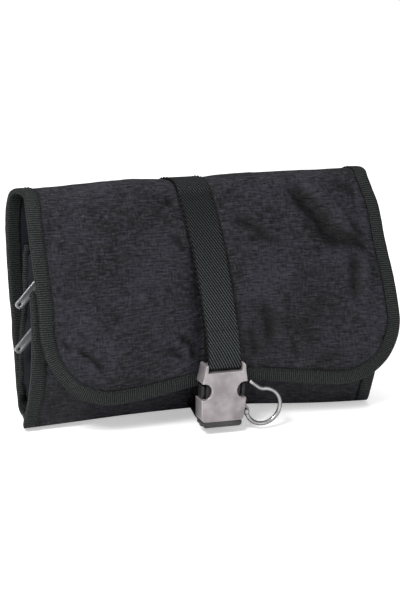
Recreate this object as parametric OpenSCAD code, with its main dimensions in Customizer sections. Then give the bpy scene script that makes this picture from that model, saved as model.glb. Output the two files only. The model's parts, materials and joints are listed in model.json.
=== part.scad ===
// Hanging toiletry bag, folded shut: a bound fabric strip in three panels,
// two zipped pouches between them, and a webbing strap with a side-release
// buckle that carries a swing-out wire hook.
// Millimetres. +X to the right, +Y to the back, +Z up. The origin is on the
// floor under the middle of the bag.

/* [Bag] */
// Width of the back and front panels
panel_w = 254; // [220:1:300]
// Height of the folded bag
bag_h = 165; // [155:1:185]
// Thickness of a lined panel
sheet_t = 2.5; // [1.8:0.1:3.5]
// Distance from the origin to the outer face of the back panel
back_y = 24; // [22:0.5:32]
// Distance from the origin to the fold line below the front panel
base_front = 16; // [12:0.5:20]
// Radius of the fold under the back panel
base_r = 12; // [6:0.5:16]
// Radius of the fold over the top
fold_r = 13; // [10:0.5:14]

/* [Flap] */
// Width of the flap
flap_w = 260; // [224:1:306]
// How much shorter the flap is than the bag is high
flap_short = 25; // [15:1:35]
// Lean of the flap where it leaves the top fold, in degrees
flap_lean_top = 24; // [22:0.5:30]
// Lean of the flap at its hem, in degrees
flap_lean_hem = 8; // [4:0.5:12]
// Radius of the flap's two lower corners
corner_r = 38; // [20:1:55]

/* [Front panel] */
// Height of the front panel above its fold line
front_h = 100; // [88:1:105]
// How far the front panel swells forward at mid height
front_bulge = 10; // [6:0.5:11]

/* [Pouches] */
// Distance from a panel's side edge to the pouch's end
pouch_inset = 3; // [2:0.5:12]
// Thickness of the pouch on the back panel
back_pouch_t = 11.2; // [8:0.1:12]
// Height of the pouch on the back panel
back_pouch_h = 128; // [112:1:132]
// Distance from the front fold line to the inner face of the front pouch
front_pouch_t = 13; // [9:0.5:14]
// Distance from the front panel's lower and upper edges to its pouch
front_pouch_inset = 8; // [6:0.5:12]
// Radius of the pouches' corners, seen from the front
pouch_corner_r = 14; // [5:1:20]

/* [Binding] */
// Width of the binding tape on each face
bind_w = 9; // [6:0.5:10]
// Thickness of the binding tape
bind_t = 0.9; // [0.5:0.1:1.2]
// Width of the tape on the pouches' ends
pouch_bind_w = 5; // [4:0.5:8]

/* [Strap] */
// Width of the webbing
strap_w = 25; // [20:0.5:25]
// Thickness of the webbing
strap_t = 1.6; // [1.2:0.1:1.8]
// How far the strap's upper end sits left of the middle
strap_shift = 12; // [0:1:16]
// Distance from the strap's end above the buckle to the flap's hem
strap_short = 34.5; // [33:0.5:38]
// Length of the sewn end of the lower strap on the front panel
strap_patch = 14; // [10:1:18]

/* [Buckle] */
// Half of the buckle's width
buckle_hw = 16.5; // [16:0.1:18]
// Length of the socket from its mouth to the top of its bar
socket_len = 41; // [40:0.5:44]
// Thickness of the socket
socket_t = 11; // [10:0.5:12]
// Height of the socket's mouth above the floor
mouth_z = 9.5; // [9:0.5:12]
// Radius of the finger windows in the socket's sides
window_r = 6; // [5:0.1:6.5]
// Distance from the socket's side to the middle of its finger windows
window_in = 1.2; // [0.4:0.1:1.6]
// Height of the finger windows above the socket's mouth
window_z = 22; // [20.5:0.5:23]
// Thickness of the plug and its prongs
plug_t = 6; // [5:0.1:6.2]
// Room round each finger rail in its window
pad_room = 1.8; // [1.6:0.1:2.2]

/* [Hook] */
// Diameter of the hook's wire
wire_d = 3; // [2.4:0.1:3.2]
// Radius of the hook's bow, to the middle of the wire
bow_r = 12.8; // [11:0.1:14]
// Radius of the turned-out tip
tip_r = 8; // [6:0.5:10]
// Length of the straight tip
tip_len = 7; // [3:0.5:8]

/* [Zips] */
// Width of the zip tape
tape_w = 22; // [16:1:26]
// Thickness of the zip tape
tape_t = 0.8; // [0.6:0.1:1]
// Width of the closed chain of teeth
chain_w = 4.4; // [3.6:0.1:5]
// Height of the chain of teeth above the tape
chain_t = 0.8; // [0.6:0.1:1]
// Length of a zip pull
pull_len = 28; // [16:1:28]
// Angle that the pulls hang outwards at the open end, in degrees
pull_turn = 40; // [40:1:50]
// Height of the back pouch's zip above the floor
back_zip_z = 107; // [107:1:110]
// Height of the front pouch's zip above the floor
front_zip_z = 76; // [70:1:78]

/* [Net pocket] */
// Distance from the top fold to the net's hem
net_top = 24; // [16:1:40]
// Width of the net's elastic hem
net_hem_w = 10; // [6:1:14]
// Thickness of the net
net_t = 0.8; // [0.6:0.1:1]
// Thickness of the elastic hem
net_hem_t = 1.4; // [1:0.1:1.5]
// Distance from the flap's side tape to the net
net_gap = 1; // [0.5:0.5:4]

/* [Hidden] */
$fn = 48;

// Clearances
move_gap = 0.4;
seat_gap = 0.15;
pin_gap = 0.05;
// Trim stays this far from the top fold line, so that it can open
fold_gap = 7;
steps = 14;

// Top fold: its centre, and the polar angle where the flap leaves it
fold_c = [back_y - fold_r, bag_h - fold_r];
fold_a = 180 - flap_lean_top;
fold_line = fold_c + fold_r * dir(fold_a);

// Flap: one wide arc, tangent to the top fold
flap_len = bag_h - flap_short;
flap_r = flap_len / ((flap_lean_top - flap_lean_hem) * PI / 180);
flap_c = fold_line - flap_r * dir(fold_a);
hem_a = 180 - flap_lean_hem;
hem = flap_c + flap_r * dir(hem_a);

// Front panel: one arc that swells forward over its height
front_half = (front_h - move_gap) / 2;
front_r = (front_half * front_half + front_bulge * front_bulge) / (2 * front_bulge);
front_c = [front_r - front_bulge - base_front, move_gap + front_half];
front_a = asin(front_half / front_r);

// Pouches: they sit on the panels' side tape
pouch_w = panel_w - 2 * pouch_inset;
pouch_seat = sheet_t + bind_t + seat_gap;
back_pouch_y = back_y - pouch_seat - back_pouch_t;
back_pouch_z = sheet_t + move_gap;
front_pouch_y = front_pouch_t - base_front;
front_pouch_low = front_pouch_inset;
front_pouch_high = front_h - front_pouch_inset;

// Net pocket, measured along the flap
net_w = flap_w - 2 * bind_w - 2 * net_gap;
net_low = flap_len - corner_r - 2;

// Strap: its foot on the front panel and its end above the buckle
foot_z = 8;
flap_strap_len = flap_len - strap_short;
tail_a = fold_a + turn(flap_strap_len, flap_r);
tail = flap_c + (flap_r + seat_gap + strap_t) * dir(tail_a);

// Buckle: the plane through its middle, behind which it clears the strap and the flap's hem
buckle_y = hem[0] - bind_t - move_gap - socket_t / 2;
cavity_hw = buckle_hw - 3.2;
cavity_z = window_z + window_r + 3;
slot_hw = strap_w / 2 + move_gap;
slot_h = strap_t + 0.7;
bar_h = 3.4;
bar_t = 4;
horn_hw = slot_hw + 1.9;
socket_slot_z = socket_len - bar_h - slot_h;
rim_h = 3.6;
rim_hw = horn_hw - 0.4;
plug_bar_h = 1.6;
plug_low = -move_gap - rim_h;
plug_bar_y = socket_t / 2 - bar_t / 2;
plug_block_h = 4.2;
knuckle_r = 1.9;
knuckle = [9.4, 3];
pad_hw = buckle_hw - move_gap;
window_x = buckle_hw - window_in;

// Hook: the pivot in the lug beside the socket, and the middle plane of the wire
wire_r = wire_d / 2;
head_r = wire_r + 0.4;
pivot = [buckle_hw + head_r + move_gap, 4.6];
lug_r = wire_r + 1.9;
hook_y = -2.2;
bow_lift = 13;
bow_c = bow_r * dir(bow_lift);
tip_turn = 37;

// Zips: a slider rests at the left end
slider_w = 9;
slider_h = 10;
slider_t = 2.2;
zip_w = pouch_w - 2 * pouch_bind_w;
slider_x = -zip_w / 2 + slider_w / 2 + move_gap;
post_r = 1.1;
post_z = 2.8;
bridge_w = 1.8;
bridge_t = 1.2;
pull_w = 6;
pull_t = 1.4;

function dir(a) = [cos(a), sin(a)];
function arc(c, r, a0, a1, n = steps) = [for (i = [0:n]) c + r * dir(a0 + (a1 - a0) * i / n)];
function flip(p) = [for (i = [len(p) - 1:-1:0]) p[i]];
function turn(len_mm, r) = len_mm / r * 180 / PI;
// Middle of the slanted strap at a height on the flap
function strap_x(z) = -strap_shift * (z - tail[1]) / (fold_line[1] - tail[1]);
// Polar angle on the front panel's arc at a height
function front_at(z) = 180 - asin((z - front_c[1]) / front_r);

// A side profile in Y and Z, drawn out along X about the middle
module along_x(w, x = 0) {
    translate([x - w / 2, 0, 0]) rotate([90, 0, 90]) linear_extrude(w) children();
}

// A front outline in X and Z, drawn out along Y between two planes
module along_y(y0, y1) {
    translate([0, y1, 0]) rotate([90, 0, 0]) linear_extrude(y1 - y0) children();
}

// A curved strip between two polar angles and two radii
module band(c, r0, r1, a0, a1) {
    polygon(concat(arc(c, r1, a0, a1), flip(arc(c, r0, a0, a1))));
}

// The same strip measured from the flap's outer face
module flap_band(low, high, s0, s1 = flap_len) {
    band(flap_c, flap_r + low, flap_r + high, fold_a + turn(s0, flap_r), fold_a + turn(s1, flap_r));
}

// The same strip measured from the front panel's outer face, between two heights
module front_band(low, high, z0, z1) {
    band(front_c, front_r + low, front_r + high, front_at(z0), front_at(z1));
}

// Front outline with two rounded lower corners
module apron(w, low, high, r) {
    polygon(concat([[-w / 2, high]], arc([-w / 2 + r, low + r], r, 180, 270),
        arc([w / 2 - r, low + r], r, 270, 360), [[w / 2, high]]));
}

// Front outline with four rounded corners
module plate(w, low, high, r) {
    polygon(concat(arc([-w / 2 + r, low + r], r, 180, 270), arc([w / 2 - r, low + r], r, 270, 360),
        arc([w / 2 - r, high - r], r, 0, 90), arc([-w / 2 + r, high - r], r, 90, 180)));
}

// Side profile of the back panel: base, rear fold, back and top fold
module back_profile(low, high, a0 = -90, a1 = fold_a) {
    base_c = [back_y - base_r, base_r];
    polygon(concat(arc(base_c, base_r + high, a0, 0), arc(fold_c, fold_r + high, 0, a1),
        flip(arc(fold_c, fold_r + low, 0, a1)), flip(arc(base_c, base_r + low, a0, 0))));
}

module base_profile() {
    y0 = -base_front + sheet_t + move_gap;
    translate([y0, 0]) square([back_y - base_r - y0, sheet_t]);
}

module back_panel() {
    color("#2b2b30") union() {
        along_x(panel_w) back_profile(-sheet_t, 0, a1 = fold_a - turn(move_gap, fold_r));
        along_x(panel_w) base_profile();
    }
}

// Tape folded round one side edge of the back panel
module back_binding(side) {
    low_a = -60;
    high_a = fold_a - turn(fold_gap, fold_r);
    color("#37393b") difference() {
        along_x(bind_w + bind_t, side * (panel_w - bind_w + bind_t) / 2)
            back_profile(-sheet_t - bind_t, bind_t, low_a, high_a);
        along_x(panel_w) back_profile(-sheet_t, 0);
    }
}

module back_binding_left() { back_binding(-1); }

module back_binding_right() { back_binding(1); }

// Webbing sewn over the top fold and down the back
module back_strap() {
    low_a = -45;
    color("#2f3133") along_x(strap_w, -strap_shift)
        back_profile(seat_gap, seat_gap + strap_t, low_a, fold_a - turn(fold_gap, fold_r));
}

// Soft pouch on the back panel, following its folds
module back_pouch() {
    top = back_pouch_z + back_pouch_h;
    color("#3a3b40") intersection() {
        along_x(pouch_w) intersection() {
            translate([back_pouch_y, back_pouch_z]) square([back_pouch_t, back_pouch_h]);
            polygon(concat(arc([back_y - base_r, base_r], base_r - pouch_seat, -90, 0),
                arc(fold_c, fold_r - pouch_seat, 0, 90),
                [[back_pouch_y, top], [back_pouch_y, back_pouch_z]]));
        }
        along_y(back_pouch_y, back_y) plate(pouch_w, back_pouch_z, top, pouch_corner_r);
    }
}

// Tape round the pouch's two ends, proud of its face
module back_pouch_binding() {
    top = back_pouch_z + back_pouch_h;
    color("#34363a") for (side = [-1, 1])
        along_x(pouch_bind_w, side * (pouch_w - pouch_bind_w) / 2)
            translate([back_pouch_y - bind_t, back_pouch_z + pouch_corner_r])
                square([bind_t, top - back_pouch_z - 2 * pouch_corner_r]);
}

// Tape and closed chain of teeth on a pouch face; out is the way that the face looks
module zip(y, z, out) {
    translate([0, y, z]) union() {
        translate([-zip_w / 2, min(0, out * tape_t), -tape_w / 2]) cube([zip_w, tape_t, tape_w]);
        translate([-zip_w / 2, min(out * tape_t, out * (tape_t + chain_t)), -chain_w / 2])
            cube([zip_w, chain_t, chain_w]);
    }
}

module back_zip() { color("#202124") zip(back_pouch_y, back_zip_z, -1); }

module front_zip() { color("#202124") zip(front_pouch_y, front_zip_z, 1); }

// Slider: a plate over the chain with a flange on each side, and two posts with a bridge for the pull
module slider(y, z, out) {
    chain = tape_t + chain_t;
    reach = chain + move_gap + slider_t;
    arch = pull_t + move_gap;
    color("#b9bbbe") translate([slider_x, y, z]) mirror([0, out > 0 ? 0 : 1, 0]) difference() {
        union() {
            translate([-slider_w / 2, tape_t + move_gap, -slider_h / 2])
                cube([slider_w, reach - tape_t - move_gap, slider_h]);
            for (side = [-1, 1]) translate([0, reach - slider_t / 2, side * post_z]) rotate([-90, 0, 0])
                cylinder(r = post_r, h = slider_t / 2 + arch + bridge_t + 0.2);
            translate([-bridge_w / 2, reach + arch, -post_z - bridge_w / 4])
                cube([bridge_w, bridge_t, 2 * post_z + bridge_w / 2]);
        }
        translate([-slider_w, 0, -chain_w / 2 - move_gap])
            cube([2 * slider_w, chain + move_gap, chain_w + 2 * move_gap]);
    }
}

// Pull: a flat tab with an eye round the slider's lower post
module pull(y, z, out) {
    reach = tape_t + chain_t + move_gap + slider_t;
    end_r = pull_w / 2;
    hole_r = 1.3;
    color("#c9cbcd") translate([slider_x, y, z]) mirror([0, out > 0 ? 0 : 1, 0])
        translate([0, reach + move_gap / 2, -post_z]) rotate([0, pull_turn, 0]) difference() {
            along_y(0, pull_t) plate(pull_w, -pull_len, end_r, end_r - 0.8);
            for (hole = [[0, post_r + move_gap], [end_r - pull_len, hole_r]])
                translate([0, 2 * pull_t, hole[0]]) rotate([90, 0, 0]) cylinder(r = hole[1], h = 3 * pull_t);
        }
}

module back_zip_slider() { slider(back_pouch_y, back_zip_z, -1); }

module back_zip_pull() { pull(back_pouch_y, back_zip_z, -1); }

module front_zip_slider() { slider(front_pouch_y, front_zip_z, 1); }

module front_zip_pull() { pull(front_pouch_y, front_zip_z, 1); }

module flap_panel() {
    color("#2d2b33") intersection() {
        along_x(flap_w) flap_band(-sheet_t, 0, move_gap);
        along_y(-3 * back_y, 2 * back_y) apron(flap_w, hem[1], bag_h, corner_r);
    }
}

// Tape folded round the flap's two sides and its hem
module flap_binding() {
    color("#37393b") difference() {
        intersection() {
            along_x(flap_w + 2 * bind_t) flap_band(-sheet_t - bind_t, bind_t, fold_gap, flap_len + bind_t);
            along_y(-3 * back_y, 2 * back_y)
                apron(flap_w + 2 * bind_t, hem[1] - bind_t, bag_h, corner_r + bind_t);
        }
        intersection() {
            along_x(flap_w) flap_band(-sheet_t, 0, move_gap);
            along_y(-3 * back_y, 2 * back_y) apron(flap_w, hem[1], bag_h, corner_r);
        }
        along_y(-3 * back_y, 2 * back_y)
            apron(flap_w - 2 * bind_w, hem[1] + bind_w, 2 * bag_h, corner_r - bind_w);
    }
}

// Webbing sewn slantwise down the flap, ending above the buckle
module flap_strap() {
    high = fold_line[1];
    low = tail[1] - strap_w / 2;
    color("#2f3133") intersection() {
        along_x(strap_w + 4 * strap_shift)
            flap_band(seat_gap, seat_gap + strap_t, fold_gap, flap_strap_len);
        along_y(-3 * back_y, 2 * back_y) polygon([[strap_x(high) - strap_w / 2, high],
            [strap_x(high) + strap_w / 2, high], [strap_x(low) + strap_w / 2, low],
            [strap_x(low) - strap_w / 2, low]]);
    }
}

// Webbing turned round the socket's bar and sewn back on the strap
module strap_loop() {
    bar = [buckle_y, mouth_z + socket_len - bar_h / 2];
    lift = strap_t * dir(tail_a);
    side = bar_t / 2 + seat_gap;
    rise = bar_h / 2 + seat_gap;
    color("#2f3133") difference() {
        union() {
            along_x(strap_w) translate(bar - [side + strap_t, rise + strap_t])
                square([2 * (side + strap_t), 2 * (rise + strap_t)]);
            along_x(strap_w) polygon([bar + [side + strap_t, rise], bar + [0, rise + strap_t],
                tail + lift, tail]);
        }
        along_x(2 * strap_w) translate(bar - [side, rise]) square([2 * side, 2 * rise]);
    }
}

// Net pocket on the inside of the flap
module flap_mesh() {
    color("#4a4d52") along_x(net_w)
        flap_band(-sheet_t - seat_gap - net_t, -sheet_t - seat_gap, net_top + net_hem_w, net_low);
}

// Elastic hem along the top of the net
module mesh_hem() {
    color("#34363a") along_x(net_w)
        flap_band(-sheet_t - seat_gap - net_hem_t, -sheet_t - seat_gap,
            net_top, net_top + net_hem_w - seat_gap);
}

module front_panel() {
    color("#29282e") along_x(panel_w) band(front_c, front_r - sheet_t, front_r, 180 + front_a, 180 - front_a);
}

// Tape folded round the front panel's two sides and its upper edge
module front_binding() {
    edge = turn(bind_t, front_r);
    low_z = 5;
    color("#37393b") difference() {
        along_x(panel_w + 2 * bind_t)
            band(front_c, front_r - sheet_t - bind_t, front_r + bind_t, front_at(low_z), 180 - front_a - edge);
        along_x(panel_w) band(front_c, front_r - sheet_t, front_r, 180 + front_a, 180 - front_a);
        along_y(-3 * back_y, 2 * back_y) translate([-panel_w / 2 + bind_w, -bag_h])
            square([panel_w - 2 * bind_w, bag_h + front_h - bind_w]);
    }
}

// Soft pouch behind the front panel
module front_pouch() {
    r = front_r - pouch_seat;
    color("#3a3b40") intersection() {
        along_x(pouch_w) polygon(concat(arc(front_c, r, front_at(front_pouch_low), front_at(front_pouch_high)),
            [[front_pouch_y, front_pouch_high], [front_pouch_y, front_pouch_low]]));
        along_y(-3 * back_y, 2 * back_y)
            plate(pouch_w, front_pouch_low, front_pouch_high, pouch_corner_r);
    }
}

module front_pouch_binding() {
    low = front_pouch_low + pouch_corner_r;
    high = front_pouch_high - pouch_corner_r;
    color("#34363a") for (side = [-1, 1])
        along_x(pouch_bind_w, side * (pouch_w - pouch_bind_w) / 2)
            translate([front_pouch_y, low]) square([bind_t, high - low]);
}

// Webbing from the front panel's foot to the plug's bar
module lower_strap() {
    bar = [buckle_y + plug_bar_y, mouth_z + plug_low + plug_bar_h / 2];
    side = bar_t / 2 + seat_gap;
    rise = plug_bar_h / 2 + seat_gap;
    foot = front_c + (front_r + seat_gap) * dir(front_at(foot_z));
    color("#2f3133") difference() {
        union() {
            along_x(strap_w) front_band(seat_gap, seat_gap + strap_t, foot_z, foot_z + strap_patch);
            along_x(strap_w) polygon([foot, foot - [strap_t, 0] + [0, strap_t],
                bar + [side, rise + strap_t], bar + [side, rise]]);
            along_x(strap_w) translate(bar - [side + strap_t, rise + strap_t])
                square([2 * (side + strap_t), 2 * (rise + strap_t)]);
        }
        along_x(2 * strap_w) translate(bar - [side, rise]) square([2 * side, 2 * rise]);
        along_x(2 * strap_w)
            band(front_c, front_r - sheet_t, front_r + seat_gap / 2, 180 + front_a, 180 - front_a);
    }
}

// Moves the buckle's own frame, with its mouth at zero, to its place
module at_buckle() { translate([0, buckle_y, mouth_z]) children(); }

// Front outline of the socket, without its openings
module socket_outline() {
    foot_r = 3;
    foot_hw = buckle_hw - 0.8;
    neck_z = window_z + window_r + 1;
    right = concat(arc([foot_hw - foot_r, foot_r], foot_r, 270, 360, 6),
        [[buckle_hw, window_z - window_r], [buckle_hw, neck_z],
            [horn_hw + 0.4, socket_slot_z + 0.5], [horn_hw, socket_len - 1], [horn_hw - 1, socket_len]]);
    polygon(concat(right, [for (p = flip(right)) [-p[0], p[1]]]));
}

// Socket half: two plates, side rails with finger windows, a bar for the webbing and the hook's lug
module buckle_socket() {
    lug_y = hook_y + head_r + move_gap;
    lug_t = socket_t / 2 - lug_y;
    color("#a6a8ab") at_buckle() difference() {
        union() {
            along_y(-socket_t / 2, socket_t / 2) socket_outline();
            translate([pivot[0], socket_t / 2, pivot[1]]) rotate([90, 0, 0])
                cylinder(r = lug_r, h = lug_t);
            translate([buckle_hw - 3, lug_y, pivot[1] - lug_r])
                cube([pivot[0] - buckle_hw + 3, lug_t, 2 * lug_r]);
        }
        translate([-cavity_hw, -plug_t / 2 - move_gap, -1])
            cube([2 * cavity_hw, plug_t + 2 * move_gap, cavity_z + 1]);
        for (side = [-1, 1]) translate([side * window_x, socket_t, window_z])
            rotate([90, 0, 0]) cylinder(r = window_r, h = 2 * socket_t);
        translate([-slot_hw, -socket_t, socket_slot_z]) cube([2 * slot_hw, 2 * socket_t, slot_h]);
        for (side = [-1, 1]) translate([-slot_hw, side > 0 ? bar_t / 2 : -bar_t / 2 - socket_t, socket_slot_z])
            cube([2 * slot_hw, socket_t, bar_h + slot_h + 1]);
        translate([pivot[0], socket_t, pivot[1]]) rotate([90, 0, 0])
            cylinder(r = wire_r + pin_gap, h = 2 * socket_t);
    }
}

// Plug half: a rim that carries on the socket's outline, a rear bar for the webbing, a block with two
// round seats, and the guide tongue
module buckle_plug() {
    rim_r = 2.4;
    tongue_hw = 3;
    tongue_top = window_z + 4;
    slot_y = socket_t / 2 - bar_t - slot_h;
    bar_top = plug_low + plug_bar_h;
    color("#8d8f92") at_buckle() difference() {
        union() {
            along_y(-socket_t / 2, socket_t / 2) apron(2 * rim_hw, plug_low, -move_gap, rim_r);
            translate([-cavity_hw + move_gap, -plug_t / 2, -move_gap - 0.1])
                cube([2 * (cavity_hw - move_gap), plug_t, plug_block_h + move_gap + 0.1]);
            translate([-tongue_hw, -plug_t / 2, plug_block_h - 0.1])
                cube([2 * tongue_hw, plug_t, tongue_top - plug_block_h]);
            translate([0, plug_t / 2, tongue_top - 0.1]) rotate([90, 0, 0])
                cylinder(r = tongue_hw, h = plug_t);
        }
        translate([-slot_hw, slot_y, plug_low - 1]) cube([2 * slot_hw, slot_h, -plug_low + 0.7]);
        translate([-slot_hw, slot_y, bar_top]) cube([2 * slot_hw, socket_t, -bar_top - 0.3]);
        for (side = [-1, 1]) translate([side * knuckle[0], plug_t, 0]) rotate([90, 0, 0]) {
            translate([0, knuckle[1], 0]) cylinder(r = knuckle_r + pin_gap, h = 2 * plug_t);
            translate([0, knuckle[1], 0]) linear_extrude(2 * plug_t)
                polygon([[-1.2, 0], [-2.6, 4], [2.6, 4], [1.2, 0]]);
        }
    }
}

// One sprung prong: a round root, a leg, a thin neck, and a finger rail at the edge of its window
module prong(side) {
    pad_drop = 0.5;
    leg_t = 2;
    rail_t = 2.2;
    neck_h = 6;
    neck_t = 2.4;
    pad_c = [window_x, window_z - pad_drop];
    tip_z = window_z + window_r - 0.5;
    color("#7d7f82") at_buckle() mirror([side > 0 ? 0 : 1, 0, 0]) union() {
        translate([knuckle[0], plug_t / 2, knuckle[1]]) rotate([90, 0, 0])
            cylinder(r = knuckle_r, h = plug_t);
        along_y(-plug_t / 2, plug_t / 2) polygon([[knuckle[0] - 0.9, knuckle[1]],
            [knuckle[0] + 0.9, knuckle[1]], [cavity_hw - 1, plug_block_h + 6],
            [cavity_hw - 0.8, tip_z - 2], [cavity_hw - 3, tip_z], [cavity_hw - 4.6, tip_z],
            [cavity_hw - 4.2, plug_block_h + 6]]);
        along_y(-neck_t / 2, neck_t / 2) translate([cavity_hw - leg_t, pad_c[1] - neck_h / 2])
            square([pad_hw - rail_t / 2 - cavity_hw + leg_t, neck_h]);
        intersection() {
            translate([pad_c[0], plug_t / 2, pad_c[1]]) rotate([90, 0, 0])
                cylinder(r = window_r - pad_room, h = plug_t);
            translate([pad_hw - rail_t, -plug_t, 0]) cube([rail_t, 2 * plug_t, socket_len]);
        }
    }
}

module prong_left() { prong(-1); }

module prong_right() { prong(1); }

// A bent length of wire in the plane of the buckle
module wire_arc(c, r, a0, a1) {
    translate([c[0], 0, c[1]]) rotate([90, 0, 0]) rotate([0, 0, a0])
        rotate_extrude(angle = a1 - a0) translate([r, 0]) circle(wire_r);
}

// Wire hook: a pin in the lug, an open bow, and a turned-out tip that is crimped on
module hanging_hook() {
    crimp_t = 0.2;
    crimp_len = 1.6;
    bend_c = bow_c + [0, bow_r + tip_r];
    bend_a = 270 - tip_turn;
    bend = bend_c + tip_r * dir(bend_a);
    color("#b4b6b9") at_buckle() translate([pivot[0], hook_y, pivot[1]]) union() {
        rotate([-90, 0, 0]) cylinder(r = wire_r, h = socket_t / 2 - hook_y);
        translate([0, -head_r, 0]) rotate([-90, 0, 0]) cylinder(r = head_r, h = 2 * head_r);
        wire_arc(bow_c, bow_r, 180 + bow_lift, 450);
        translate([bow_c[0] + crimp_len / 2, 0, bow_c[1] + bow_r]) rotate([0, -90, 0])
            cylinder(r = wire_r + crimp_t, h = crimp_len);
        wire_arc(bend_c, tip_r, bend_a, 270);
        translate([bend[0], 0, bend[1]]) rotate([0, bend_a - 270, 0]) rotate([0, -90, 0])
            cylinder(r = wire_r, h = tip_len);
        translate([bend[0], 0, bend[1]]) rotate([0, bend_a - 270, 0])
            translate([-tip_len, 0, 0]) sphere(wire_r + crimp_t);
    }
}

back_panel();
back_binding_left();
back_binding_right();
back_strap();
back_pouch();
back_pouch_binding();
back_zip();
flap_panel();
flap_binding();
flap_strap();
strap_loop();
flap_mesh();
mesh_hem();
buckle_socket();
hanging_hook();
front_panel();
front_binding();
front_pouch();
front_pouch_binding();
front_zip();
lower_strap();
buckle_plug();
prong_left();
prong_right();
back_zip_slider();
back_zip_pull();
front_zip_slider();
front_zip_pull();
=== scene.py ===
import json
import math
import types

import bmesh
import bpy
import numpy as np
from mathutils import Matrix, Vector, noise


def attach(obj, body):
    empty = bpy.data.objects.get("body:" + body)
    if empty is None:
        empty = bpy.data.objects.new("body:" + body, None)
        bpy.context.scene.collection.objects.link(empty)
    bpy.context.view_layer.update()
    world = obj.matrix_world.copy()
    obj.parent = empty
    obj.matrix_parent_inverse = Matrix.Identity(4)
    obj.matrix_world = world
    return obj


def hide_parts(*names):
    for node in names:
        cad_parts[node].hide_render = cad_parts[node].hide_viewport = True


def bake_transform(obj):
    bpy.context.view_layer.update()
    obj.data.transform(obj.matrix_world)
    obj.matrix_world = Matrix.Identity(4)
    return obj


bl_info = {
    "name": "Hanging toiletry bag",
    "version": (1, 0, 0),
    "blender": (4, 5, 0),
    "location": "View3D > Sidebar > Bag",
    "description": "Dresses the packed bag with fabric, tape, webbing, zips, buckle and hook",
    "category": "Object",
}

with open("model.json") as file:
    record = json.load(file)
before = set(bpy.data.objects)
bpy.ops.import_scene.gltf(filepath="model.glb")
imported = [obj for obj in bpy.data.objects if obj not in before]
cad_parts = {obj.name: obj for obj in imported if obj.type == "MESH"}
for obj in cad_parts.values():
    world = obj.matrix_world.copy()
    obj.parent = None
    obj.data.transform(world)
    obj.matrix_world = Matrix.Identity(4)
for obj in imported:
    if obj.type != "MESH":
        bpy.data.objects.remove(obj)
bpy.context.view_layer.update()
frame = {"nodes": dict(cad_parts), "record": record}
JOINTS = {j["name"]: j for j in frame["record"]["behaviour"]["joints"]}
MM = 0.001


def length(name, description, default):
    """One size property, in metres"""
    return bpy.props.FloatProperty(name=name, description=description, default=default, unit="LENGTH")


def colour(name, description, default):
    """One colour property"""
    return bpy.props.FloatVectorProperty(
        name=name, description=description, default=default, subtype="COLOR", size=3, min=0.0, max=1.0)


class BagSizes(bpy.types.PropertyGroup):
    """Sizes of the soft pieces, in metres"""
    panel_width: length("Panel width", "Width of the back and front panels", 0.254)
    flap_width: length("Flap width", "Width of the flap without its tape", 0.260)
    flap_length: length("Flap length", "From the top fold to the hem", 0.140)
    corner_radius: length("Corner radius", "Lower corners of the flap as they hang", 0.050)
    flap_skew: length("Flap skew", "How far the folded flap's hem drifts to the right", 0.007)
    sheet_thickness: length("Panel thickness", "Lined fabric with its padding", 0.0025)
    binding_width: length("Binding width", "Tape showing on each face", 0.009)
    strap_width: length("Strap width", "Width of the webbing", 0.025)
    strap_thickness: length("Strap thickness", "Thickness of the webbing", 0.0016)
    strap_shift: length("Strap shift", "How far the strap's upper end sits left of the middle", 0.0089)
    stitch_length: length("Stitch length", "Length of one sewn stitch", 0.0026)
    tooth_pitch: length("Tooth pitch", "Distance between the zips' teeth", 0.0021)
    net_cell: length("Net cell", "Width of one gap in the net", 0.0042)


class BagColours(bpy.types.PropertyGroup):
    """Colours of the finishes, linear"""
    shell: colour("Shell", "Crinkled nylon", (0.0124, 0.0119, 0.0166))
    lining: colour("Lining", "Plain woven lining", (0.0120, 0.0130, 0.0175))
    binding: colour("Binding", "Ribbed tape", (0.0102, 0.0118, 0.0115))
    webbing: colour("Webbing", "Twill webbing", (0.0125, 0.0143, 0.0152))
    thread: colour("Thread", "Sewing thread", (0.0025, 0.0025, 0.0030))
    net: colour("Net", "Knitted net", (0.035, 0.036, 0.040))
    zip_tape: colour("Zip tape", "Woven zip tape", (0.010, 0.010, 0.012))
    buckle: colour("Buckle", "Satin moulded socket", (0.345, 0.315, 0.325))
    plug: colour("Plug", "Darker moulded plug", (0.026, 0.026, 0.027))
    # The catches are coloured darker than the plug: painted shade for the inside of the socket
    catch: colour("Catch", "Moulded prongs inside the socket", (0.007, 0.007, 0.0075))
    wire: colour("Hook wire", "Satin plated wire", (0.60, 0.59, 0.60))
    zip_metal: colour("Zip metal", "Satin die-cast metal", (0.66, 0.66, 0.68))


def sizes():
    """The sizes in millimetres"""
    group = bpy.context.scene.bag_sizes
    return types.SimpleNamespace(**{k: getattr(group, k) / MM for k in BagSizes.__annotations__})


# Side profiles, in millimetres: a list of pieces, each an arc (centre, radius, first and last polar
# angle in degrees) or a line (first and last point).
BASE_C, BASE_R = (12.0, 12.0), 12.0
BACK_Y = 24
FOLD_C, FOLD_R, FOLD_END = (11.0, 152.0), 13.0, 156
FLAP_C, FLAP_R, FLAP_END = (457.119, -46.625), 501.338, 172
FRONT_C, FRONT_R, FRONT_HEIGHT = (103.002, 50.2), 129.002, 100
FOOT_R = 5.0
FOOT_C = (FRONT_C[0] - math.sqrt((FRONT_R - FOOT_R) ** 2 - (FRONT_C[1] - FOOT_R) ** 2), FOOT_R)
FOOT_A = math.degrees(math.atan2(FOOT_C[1] - FRONT_C[1], FOOT_C[0] - FRONT_C[0])) % 360
FRONT_TOP_A = 180 - math.degrees(math.asin((FRONT_HEIGHT - FRONT_C[1]) / FRONT_R))


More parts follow.
